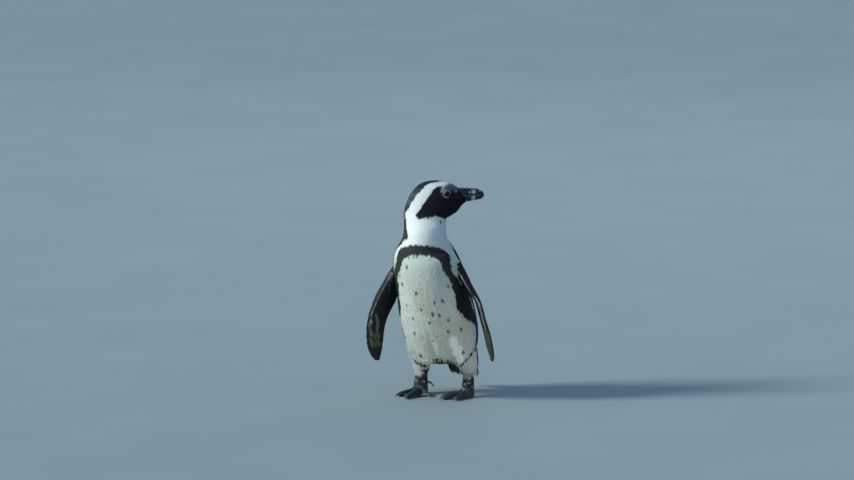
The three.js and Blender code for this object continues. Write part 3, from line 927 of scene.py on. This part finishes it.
def coat(name, hide, chosen, gap, long, wide, lift, jitter=1.1, free=0.35, ruffle=0.1, droop=0, seed=0):
    """One piece of the coat: vanes over the chosen triangles of the skin. They lie along it, or
    droop straight down from it."""
    rng = np.random.default_rng(SEED + seed)
    root, out, part = hide.spread(chosen, gap, rng)
    n = len(root)
    length = long * rng.uniform(0.82, 1.15, n)
    way = flat_to(lie(root, part), out)
    side = np.cross(out, way)
    way = unit(way + side * rng.normal(0, ruffle, n)[:, None] + [0, 0, -droop])
    lines, outs = [root], [out]
    for _ in range(2):
        ahead = lines[-1] + way * (length / 2)[:, None]
        at, up, far = hide.nearest(ahead)
        hung = (far > free * length) | (droop > 0)
        lines.append(np.where(hung[:, None], ahead, at))
        outs.append(np.where(hung[:, None], outs[-1], up))
        way = unit(way + [0, 0, -droop]) if droop else flat_to(way, outs[-1])
    rise = lift * rng.uniform(0.6, 1.35, n)
    for i, share in enumerate((-0.35, 0.62, 1)):
        above = np.full(n, share) if share < 0 else rise * share
        lines[i] = lines[i] + outs[i] * above[:, None]
    shown = lines[0] * 0.25 + lines[2] * 0.75
    colour, bare = plumage_colour(shown + rng.normal(0, jitter, (n, 3)), part)
    keep = ~bare & ~plumage_colour(root, part)[1]
    lines, outs = [a[keep] for a in lines], [a[keep] for a in outs]
    colour = colour[keep] * rng.uniform(0.9, 1.08, (keep.sum(), 1))
    width = wide * rng.uniform(0.85, 1.15, keep.sum())
    roll = rng.normal(0, 0.1, keep.sum())
    places_flat = unwrapped(root[keep], part[keep])
    mesh = vane_mesh(name, lines, outs, width, 0.14, BODY_VANE, roll, colour, rng, places_flat)
    return linked(name, mesh)


def make_tail():
    """The stiff tail quills, in fanned rows over, under and inside the tail, ending raggedly."""
    rng = np.random.default_rng(SEED + 60)
    lines, outs, wide = [[], [], []], [[], [], []], []
    for count, thick, short, size in QUILL_ROWS:
        for s in np.linspace(-1, 1, count):
            s += rng.normal(0, 0.03)
            end = QUILL_END + 3 * s * s + short + rng.uniform(-3, 7)
            for i, (up, spread, depth) in enumerate((*QUILL_LINE, (end, 25, 2.4))):
                rise = depth * thick * (1 - 0.55 * s * s)
                back = curve(up, TAIL_UP, TAIL_BACK) + 0.86 * rise
                lines[i].append((TAIL_X + s * spread, back, up + 0.5 * rise))
                outs[i].append((s * 0.35, 0.86, 0.5))
            wide.append(size * rng.uniform(0.85, 1.1))
    lines, outs = [np.array(a) for a in lines], [unit(np.array(a)) for a in outs]
    n = len(wide)
    colour = np.array(BLACK) * rng.uniform(0.8, 1.7, (n, 1))
    roll = rng.normal(0, 0.05, n)
    flat = np.stack([0.1 + 0.8 * (np.arange(n) + 0.5) / n, np.full(n, 0.5)], axis=1)
    wide = np.array(wide)
    mesh = vane_mesh("tail_quills", lines, outs, wide, 0.22, QUILL_VANE, roll, colour, rng, flat)
    return placed(linked("tail_quills", mesh))


# ------------------------------------------------------------------ bill, eyes, claws and scales
SHEATH = 0.05  # how far the bill's sheath grows from the CAD's bill
BILL_MARKS = [  # pale marks: [ahead, up, half length, half height]
    (98.5, 432, 4.6, 3.8), (98.6, 419, 4.2, 4.6), (91, 432, 1.6, 1.6), (111.7, 434, 2, 1.8),
]


def bill_half(node):
    """One half of the bill, with its plates, grooves and edges, run back under the feathers."""
    bm = remeshed(merged([node], grow=SHEATH), BILL_VOXEL, 4)
    p = places(bm)
    ahead, aside, up = head_coords(p)
    out = normals(bm)
    flank = step(np.abs(aside), 1.2, 2.6)
    if node == "bill_upper":
        # The ridge plate stands a little proud, over a groove that holds the nostril.
        groove = 434.6 - 0.055 * (ahead - 80) - 0.0012 * (ahead - 80) ** 2
        along = step(ahead, 74, 80) * step(112 - ahead, 0, 10)
        depth = -0.8 * np.exp(-(((up - groove) / 1.1) ** 2)) * along
        nostril = np.hypot((ahead - 86.5) / 4.2, (up - 431.6) / 1.0)
        depth -= 1.3 * step(1.3 - nostril, 0, 0.8)
        depth -= 0.3 * np.exp(-(((ahead - 99 - (up - 430) * 0.3) / 1.1) ** 2))
        edge = np.exp(-(((up - 425.2) / 0.8) ** 2)) * 0.35
        depth += edge * step(ahead, 70, 80)
    else:
        # A proud cutting edge, a groove under it, and a seam across.
        depth = 0.3 * np.exp(-(((up - 422.6) / 0.9) ** 2))
        depth -= 0.35 * np.exp(-(((up - 419.5) / 0.9) ** 2)) * step(104 - ahead, 0, 8)
        depth -= 0.3 * np.exp(-(((ahead - 96 + (up - 418) * 0.3) / 1.1) ** 2))
    lines = 0.05 * waves(p * [1, 1, 0.35], 3, 31) + 0.04 * waves(p, 1.6, 32)
    p = p + out * (depth * flank + lines)[:, None]
    root = step(76 - ahead, 0, 7)
    p = p - np.array(HEAD_AHEAD) * (root * 6)[:, None]
    set_places(bm, p)
    ob = finished(bm, node.replace("bill_", "bill_sheath_"), [node])
    ahead, _, up = head_coords(p)
    pale = np.zeros(len(p))
    for at, level, half, high in BILL_MARKS:
        off = np.hypot((ahead - at) / half, (up - level) / high) + 0.35 * waves(p, 4, 33)
        pale = np.maximum(pale, step(1.25 - off, 0, 0.5))
    tomium = np.exp(-(((up - 424.5) / 0.9) ** 2)) * step(112 - ahead, 0, 3) * 0.45
    pale = np.maximum(pale * flank, tomium * flank) * (0.75 if node == "bill_upper" else 1.25)
    put_colours(ob.data, "marks", np.repeat(pale[:, None], 3, axis=1))
    return ob


def finished(bm, name, nodes=()):
    """The object of a finished bmesh, riding on the bird."""
    mesh = bpy.data.meshes.new(name)
    for face in bm.faces:
        face.smooth = True
    bm.to_mesh(mesh)
    bm.free()
    return placed(linked(name, mesh), nodes)


def placed(ob, nodes=()):
    """Puts an object on the bird, and hides the CAD nodes that it stands for."""
    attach(ob, "root")
    if nodes:
        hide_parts(*nodes)
    return ob


def make_eye(side):
    """An eyeball with a bulging cornea, looking straight out of the head."""
    node = "eye_left" if side > 0 else "eye_right"
    bm = bmesh.new()
    bmesh.ops.create_uvsphere(bm, u_segments=64, v_segments=48, radius=EYE_RADIUS * MM)
    p = np.array([v.co for v in bm.verts]) / MM
    off = np.hypot(p[:, 0], p[:, 1])
    bulge = CORNEA_RISE * step(CORNEA - off, 0, CORNEA) * (p[:, 2] > 0)
    p *= (1 + bulge / EYE_RADIUS)[:, None]
    axis = np.array(HEAD_LEFT) * side
    across = np.array(HEAD_AHEAD)
    lie_up = np.cross(axis, across)
    at = to_mm(middle(node))
    spots = at + p[:, :1] * across + p[:, 1:2] * lie_up + p[:, 2:] * axis
    set_places(bm, spots)
    bmesh.ops.recalc_face_normals(bm, faces=bm.faces)
    ob = finished(bm, f"eyeball_{'left' if side > 0 else 'right'}", [node])
    tone = np.where(p[:, 2] > 0, off, 9)
    put_colours(ob.data, "rings", np.stack([tone / 10, off / 10, off / 10], axis=1))
    return ob


def make_claws():
    """All eight claws, as one piece."""
    bm = remeshed(merged(CLAWS, grow=0.15), CLAW_VOXEL, islands=len(CLAWS))
    return finished(bm, "claws", CLAWS)


def make_scutes(hide):
    """Small domed scales over the shins, toes and webs."""
    rng = np.random.default_rng(SEED + 40)
    up = hide.middle[:, 2]
    chosen = (hide.part >= FOOT_R) & (up > SCALES_LOW) & (up < SCALES_TOP)
    root, out, part = hide.spread(chosen, SCALE_GAP, rng)
    n = len(root)
    size = np.where(root[:, 2] < 14, 0.92, 1.02) * rng.uniform(0.85, 1.15, n)
    turn = rng.uniform(0, math.pi, n)
    side = flat_to(np.tile([0.3, 0.2, 1.0], (n, 1)), out)
    up = np.cross(out, side)
    bm = bmesh.new()
    bmesh.ops.create_uvsphere(bm, u_segments=7, v_segments=4, radius=1)
    form = np.array([v.co for v in bm.verts])
    cut = bmesh.ops.triangulate(bm, faces=bm.faces)["faces"]
    faces = np.array([[v.index for v in face.verts] for face in cut])
    bm.free()
    cos, sin = np.cos(turn)[:, None, None], np.sin(turn)[:, None, None]
    x = form[None, :, :1] * cos - form[None, :, 1:2] * sin
    y = form[None, :, :1] * sin + form[None, :, 1:2] * cos
    z = form[None, :, 2:] * SCALE_DOME
    points = root[:, None] + (x * side[:, None] + y * up[:, None] + z * out[:, None]) * size[:, None, None]
    flat = unwrapped(root, part)[:, None] + form[None, :, :2] * PATCH / 2
    mesh = joined("foot_scales", points, faces, flat)
    tones = foot_colour(root) * (0.55 + 1.7 * rng.random((n, 1)) ** 3)
    put_colours(mesh, "plume", np.repeat(tones, len(form), axis=0))
    return placed(linked("foot_scales", mesh))


# ------------------------------------------------------------------ finishes
class Value:
    """A socket in a material. Arithmetic on it adds Math nodes."""

    def __init__(self, finish, socket):
        self.finish, self.socket = finish, socket

    def maths(self, operation, first, second):
        return self.finish.node("ShaderNodeMath", {"operation": operation}, [first, second])

    def __add__(self, other):
        return self.maths("ADD", self, other)

    def __sub__(self, other):
        return self.maths("SUBTRACT", self, other)

    def __rsub__(self, other):
        return self.maths("SUBTRACT", other, self)

    def __mul__(self, other):
        return self.maths("MULTIPLY", self, other)

    __radd__ = __add__
    __rmul__ = __mul__


class Finish:
    """A material, its shader, and the one way its nodes are made."""

    def __init__(self, name, **sockets):
        self.material = bpy.data.materials.new(name)
        self.material.use_nodes = True
        self.tree = self.material.node_tree
        self.shader = self.tree.nodes["Principled BSDF"]
        for socket, value in sockets.items():
            self.shader.inputs[socket.replace("_", " ")].default_value = value

    def node(self, kind, settings=None, inputs=None, output=0):
        """A node of any type: its settings, then its sockets' values or links, by name or order."""
        node = self.tree.nodes.new(kind)
        for setting, value in (settings or {}).items():
            setattr(node, setting, value)
        pairs = inputs.items() if isinstance(inputs, dict) else enumerate(inputs or [])
        for key, value in pairs:
            self.feed(node.inputs[key], value)
        return Value(self, node.outputs[output])

    def feed(self, socket, value):
        if isinstance(value, Value):
            self.tree.links.new(value.socket, socket)
        else:
            socket.default_value = value

    def attribute(self, name):
        return self.node("ShaderNodeAttribute", {"attribute_name": name}, output="Color")

    def parts(self, colour):
        node = self.node("ShaderNodeSeparateColor", None, [colour], "Red")
        outputs = node.socket.node.outputs
        return [Value(self, outputs[i]) for i in range(3)]

    def place(self):
        return self.node("ShaderNodeTexCoord", output="Object")

    def noise(self, scale, detail=3.0, place=None):
        inputs = {"Vector": place or self.place(), "Scale": scale, "Detail": detail}
        return self.node("ShaderNodeTexNoise", None, inputs, "Fac")

    def mix(self, factor, first, second, blend_type="MIX"):
        settings = {"data_type": "RGBA", "blend_type": blend_type}
        return self.node("ShaderNodeMix", settings, {0: factor, 6: first, 7: second}, 2)

    def shaded(self, colour, shade):
        """A colour made darker or lighter by a value."""
        grey = self.node("ShaderNodeCombineColor", None, [shade, shade, shade])
        return self.mix(1.0, colour, grey, "MULTIPLY")

    def remap(self, value, low, high, to_low=0.0, to_high=1.0):
        return self.node("ShaderNodeMapRange", None, [value, low, high, to_low, to_high])

    def bump(self, height, strength, distance):
        inputs = {"Height": height, "Strength": strength, "Distance": distance}
        return self.node("ShaderNodeBump", None, inputs)

    def wear(self, **sockets):
        for socket, value in sockets.items():
            self.feed(self.shader.inputs[socket.replace("_", " ")], value)
        return self.material


BARBS = 60.0  # how closely a vane's barbs lie


def feather_finish():
    """Vanes: the colour of each, darker at its root, with fine slanting barbs."""
    f = Finish("plumage", Specular_IOR_Level=0.22)
    along, chance, across = f.parts(f.attribute("vane"))
    off = f.node("ShaderNodeMath", {"operation": "ABSOLUTE"}, [across - 0.5])
    slant = along * BARBS - off * BARBS * 1.6 + chance * 9.0
    barbs = f.node("ShaderNodeMath", {"operation": "SINE"}, [slant])
    shade = f.remap(along, 0.0, 1.0, 0.86, 1.05) * f.remap(chance, 0.0, 1.0, 0.95, 1.04)
    tint = f.shaded(f.attribute("plume"), shade * (1.0 + barbs * 0.05))
    rough = f.remap(f.noise(220.0), 0.3, 0.7, 0.64, 0.78)
    return f.wear(Base_Color=tint, Roughness=rough, Normal=f.bump(barbs + off * -3.0, 0.35, 0.0003))


def skin_finish():
    """Dull where feathers cover it, and a little shinier and pitted where it is bare."""
    f = Finish("skin", Specular_IOR_Level=0.4)
    bare = f.parts(f.attribute("bare"))[0]
    grain = f.noise(900.0, 4.0)
    pores = f.node("ShaderNodeTexVoronoi", None, {"Vector": f.place(), "Scale": 1300.0})
    tint = f.shaded(f.attribute("plume"), f.remap(grain, 0.3, 0.7, 0.85, 1.12))
    rough = f.remap(bare, 0.0, 1.0, 0.8, 0.5) + (grain - 0.5) * 0.2
    return f.wear(Base_Color=tint, Roughness=rough, Normal=f.bump(pores * 0.6 + grain, 0.5, 0.0005))


def scale_finish():
    """The scales of the shins and toes, faintly glossy."""
    f = Finish("scales", Specular_IOR_Level=0.22)
    grain = f.noise(700.0, 4.0)
    tint = f.shaded(f.attribute("plume"), f.remap(grain, 0.3, 0.7, 0.8, 1.2))
    rough = f.remap(grain, 0.3, 0.7, 0.5, 0.7)
    return f.wear(Base_Color=tint, Roughness=rough, Normal=f.bump(grain, 0.4, 0.0004))


def horn_finish():
    """The bill's black horn, clouded and finely grained, with bone-coloured marks."""
    f = Finish("bill_horn", Coat_Roughness=0.25, Specular_IOR_Level=0.35)
    pale = f.parts(f.attribute("marks"))[0]
    streaks = f.node("ShaderNodeMapping", None, {"Vector": f.place(), "Scale": (1.0, 1.0, 4.0)})
    grain = f.noise(500.0, 5.0, streaks)
    cloud = f.noise(90.0, 3.0)
    black = f.mix(f.remap(cloud, 0.35, 0.7), (0.006, 0.008, 0.012, 1), (0.016, 0.020, 0.027, 1))
    bone = f.mix(f.remap(grain, 0.3, 0.7), (0.30, 0.305, 0.325, 1), (0.54, 0.54, 0.55, 1))
    return f.wear(
        Base_Color=f.mix(pale, black, bone),
        Roughness=f.remap(grain, 0.3, 0.7, 0.34, 0.52),
        Normal=f.bump(grain + cloud * 0.5, 0.35, 0.0004),
        Coat_Weight=f.remap(cloud, 0.4, 0.7, 0.02, 0.12),
    )


def claw_finish():
    """Dark horn, streaked along the claws."""
    f = Finish("claw_horn")
    streaks = f.node("ShaderNodeMapping", None, {"Vector": f.place(), "Scale": (1.0, 0.25, 1.0)})
    grain = f.noise(800.0, 4.0, streaks)
    tint = f.mix(f.remap(grain, 0.35, 0.65), (0.035, 0.033, 0.032, 1), (0.16, 0.15, 0.14, 1))
    rough = f.remap(grain, 0.3, 0.7, 0.3, 0.5)
    return f.wear(Base_Color=tint, Roughness=rough, Normal=f.bump(grain, 0.3, 0.0003))


def eye_finish():
    """A wet dark eye: the pupil, the iris with its fibres, and the darker rim round it."""
    f = Finish("eye_finish", Coat_Roughness=0.03, Coat_IOR=1.3, Specular_IOR_Level=0.15)
    ring = f.parts(f.attribute("rings"))[0]
    fibres = f.noise(900.0, 4.0)
    iris = f.mix(f.remap(fibres, 0.35, 0.65), (0.005, 0.0035, 0.004, 1), (0.014, 0.008, 0.007, 1))
    tint = f.mix(f.remap(ring, 0.2, 0.23), (0.002, 0.002, 0.003, 1), iris)
    return f.wear(
        Base_Color=f.mix(f.remap(ring, 0.42, 0.5), tint, (0.012, 0.010, 0.012, 1)),
        Roughness=f.remap(fibres, 0.3, 0.7, 0.08, 0.14),
        Coat_Weight=f.remap(ring, 0.0, 0.9, 0.4, 0.3),
    )


def dress(ob, material):
    ob.data.materials.clear()
    ob.data.materials.append(material)


# ------------------------------------------------------------------ putting the bird together
def finish_skin():
    """The whole skin as one object with the markings on it, and the part of each of its places."""
    body, feet = make_skin(), make_feet()
    mesh = bpy.data.meshes.new("feet")
    feet.to_mesh(mesh)
    feet.free()
    body.from_mesh(mesh)
    bpy.data.meshes.remove(mesh)
    bmesh.ops.triangulate(body, faces=body.faces)
    p = places(body)
    part, _ = nearest_part(p, TRUNK_PARTS + FOOT_PARTS)
    ob = finished(body, "skin", TRUNK_PARTS + FOOT_PARTS)
    colour, bare = plumage_colour(p, part)
    # A faint pale line runs back from the corner of the bill, in the brow's dark purple: pink skin with
    # painted shade.
    ahead, _, up = head_coords(p)
    off_gape = np.abs(up - GAPE_UP - (ahead - GAPE_AHEAD) * 0.1)
    gape = (part == HEAD) & (ahead > GAPE_AHEAD - 1) & (ahead < 82) & (off_gape < 0.8)
    put_colours(ob.data, "plume", np.where(gape[:, None], BROW_PAINTED_SHADE, colour))
    bare = (bare | (part >= FOOT_R)).astype(float)
    put_colours(ob.data, "bare", np.repeat(bare[:, None], 3, axis=1))
    return ob, part


# Where the pieces of the coat meet: heights, and how far ahead on the head the face starts.
FACE_AHEAD = 26
CROWN_UP, NECK_UP, BREAST_UP, BACK_UP = 392, 322, 215, 190
HEM_LOW, BODY_LOW, LEG_LOW, HEM_TOP = 56.5, 58, 60, 63


def coat_regions(hide):
    """The triangles of the skin under each piece of the coat, by name."""
    at, on = hide.middle, hide.part
    up = at[:, 2]
    head_ahead, _, _ = head_coords(at)
    angle, _ = trunk_angle(at)
    of_body = (on <= HEAD) & (up > BODY_LOW)
    face = (on == HEAD) & (head_ahead > FACE_AHEAD)
    crown = (up > CROWN_UP) & of_body & ~face
    neck = of_body & (up > NECK_UP) & ~face & ~crown
    trunk = of_body & ~face & ~crown & ~neck
    front = np.abs((angle - BREAST_TURN + 180) % 360 - 180) < 80
    leg = (on == LEG_R) | (on == LEG_L)
    hems = leg & (up < HEM_TOP) & (up > HEM_LOW)
    round_leg = np.degrees(np.arctan2(at[:, 0] - 50 * np.sign(at[:, 0]), -at[:, 1]))
    under = (on == TRUNK) & (hide.out[:, 2] < -0.3)
    return {
        "face": face,
        "crown": crown,
        "neck": neck,
        "breast": trunk & front & (up > BREAST_UP),
        "belly": trunk & front & (up <= BREAST_UP),
        "back": trunk & ~front & (up > BACK_UP),
        "rump": trunk & ~front & (up <= BACK_UP),
        "legs": leg & (up > LEG_LOW),
        "flipper_right": on == FLIP_R,
        "flipper_left": on == FLIP_L,
        "tail_base": (on == TAIL) & (up > BODY_LOW),
        "hems": hems,
        "tufts": hems & (np.abs(round_leg) > 98),
        "skirt": under & (up < 92) & (hide.out[:, 2] < -0.45) & (at[:, 1] < 8),
        "vent": under & (up < 95) & (at[:, 1] > 4),
    }


COATS = [  # name, gap between roots, length, width, lift, slot, and the rest
    ("face", 0.84, 2.7, 0.92, 0.17, "dark_plumage", {"jitter": 0.8}),
    ("crown", 1.08, 4.6, 1.25, 0.25, "dark_plumage", {"jitter": 0.9}),
    ("neck", 1.35, 6.8, 1.6, 0.38, "white_plumage", {}),
    ("breast", 1.45, 8.8, 1.85, 0.45, "white_plumage", {"jitter": 0.6}),
    ("belly", 1.48, 9.2, 1.85, 0.6, "white_plumage", {"ruffle": 0.16, "jitter": 0.6}),
    ("back", 1.7, 9.5, 2.3, 0.5, "dark_plumage", {}),
    ("rump", 1.7, 9.5, 2.3, 0.6, "dark_plumage", {}),
    ("legs", 1.45, 7.8, 1.8, 0.6, "white_plumage", {"ruffle": 0.16}),
    ("flipper_right", 1.15, 2.7, 1.35, 0.16, "dark_plumage", {"free": 9, "jitter": 0.45}),
    ("flipper_left", 1.15, 2.7, 1.35, 0.16, "dark_plumage", {"free": 9, "jitter": 0.45}),
    ("tail_base", 2.0, 13.0, 2.8, 1.0, "dark_plumage", {}),
    ("hems", 1.3, 5.6, 1.5, 0.5, "white_plumage", {"droop": 0.8, "ruffle": 0.3}),
    ("tufts", 2.2, 15.0, 2.1, 2.6, "dark_plumage", {"droop": 0.6, "ruffle": 0.4}),
    ("skirt", 1.8, 10.0, 1.8, 1.0, "dark_plumage", {"droop": 0.5, "ruffle": 0.35}),
    ("vent", 2.0, 15.0, 2.2, 1.5, "dark_plumage", {"droop": 0.4, "ruffle": 0.3}),
]

skin, skin_part = finish_skin()
dress(skin, skin_finish())
hide = Hide(skin.data, skin_part)
plumage = feather_finish()
regions = coat_regions(hide)
for number, (name, gap, long, wide, lift, slot, rest) in enumerate(COATS):
    chosen = regions[name]
    piece = coat("feathers_" + name, hide, chosen, gap, long, wide, lift, seed=number, **rest)
    dress(placed(piece), plumage)
dress(make_tail(), plumage)
horn = horn_finish()
for node in ("bill_upper", "bill_lower"):
    dress(bill_half(node), horn)
wet = eye_finish()
for side in (1, -1):
    dress(make_eye(side), wet)
dress(make_claws(), claw_finish())
dress(make_scutes(hide), scale_finish())


# ------------------------------------------------------------------ floor, light and camera
AIM = (-58.2, 27.0, 313.7)  # what the middle of the camera's view falls on
CAMERA_TURN, CAMERA_RISE = 30, 9.5  # degrees round the bird from its front, and up
CAMERA_FAR = 12.0
VIEW_WIDE = 1.751  # the width of the view at that distance, in metres


def direction(turn, rise):
    """The way out from the bird, turned so far round from its front and so far up, in degrees."""
    turn, rise = math.radians(turn), math.radians(rise)
    return Vector((math.sin(turn) * math.cos(rise), -math.cos(turn) * math.cos(rise), math.sin(rise)))


def look(ob, at, target):
    """Puts a light or camera at a place, facing another."""
    ob.location = at
    ob.rotation_euler = (target - at).to_track_quat("-Z", "Y").to_euler()


def lamp(name, kind, at, target, colour, **settings):
    """A light at one place, turned to another."""
    data = bpy.data.lights.new(name, kind)
    data.color = colour
    for setting, value in settings.items():
        setattr(data, setting, value)
    look(linked(name, data), at, target)


def upright(up):
    """A place over the frame's origin."""
    return Vector((0, 0, up))


def make_lights():
    """One soft key light, two small fills, a light from behind and a pale blue room."""
    key = direction(-48, 28)
    lamp("key", "SUN", key, upright(0), (0.90, 1.0, 0.88), energy=3.65, angle=math.radians(13))
    # Two narrow soft lights, each kept to one part of the bird.
    low = direction(57, 0) * 3 + upright(0.13)
    warm, cool = (1.0, 0.93, 0.60), (0.92, 1.0, 0.9)
    lamp("bounce", "AREA", low, upright(0.12), warm, energy=0.045, size=0.26, spread=math.radians(4))
    high = direction(-12, 0) * 3 + upright(0.40)
    lamp("neck_fill", "AREA", high, upright(0.36), cool, energy=0.013, size=0.12, spread=math.radians(2.6))
    middle_up = upright(0.22)
    back = middle_up + direction(195, 40) * 4
    lamp("back_fill", "AREA", back, middle_up, (0.85, 0.93, 1.0), energy=22, size=3.5)
    world = bpy.data.worlds.new("studio")
    bpy.context.scene.world = world
    world.use_nodes = True
    world.node_tree.nodes["Background"].inputs["Color"].default_value = (0.235, 0.365, 0.53, 1)


def make_floor():
    """A wide plain floor, faintly clouded."""
    bm = bmesh.new()
    bmesh.ops.create_grid(bm, x_segments=1, y_segments=1, size=30)
    mesh = bpy.data.meshes.new("floor")
    bm.to_mesh(mesh)
    bm.free()
    floor = linked("floor", mesh)
    f = Finish("floor", Specular_IOR_Level=0.15)
    tone = f.mix(f.remap(f.noise(3.0), 0.3, 0.7), (0.25, 0.295, 0.318, 1), (0.27, 0.315, 0.338, 1))
    dress(floor, f.wear(Base_Color=tone, Roughness=f.remap(f.noise(40.0), 0.3, 0.7, 0.9, 1.0)))


def make_camera():
    camera = linked("camera", bpy.data.cameras.new("camera"))
    camera.data.lens = camera.data.sensor_width * CAMERA_FAR / VIEW_WIDE
    target = Vector(to_frame(AIM))
    look(camera, target + direction(CAMERA_TURN, CAMERA_RISE) * CAMERA_FAR, target)
    bpy.context.scene.camera = camera


make_floor()
make_lights()
make_camera()
bpy.context.scene.view_settings.view_transform = "Standard"
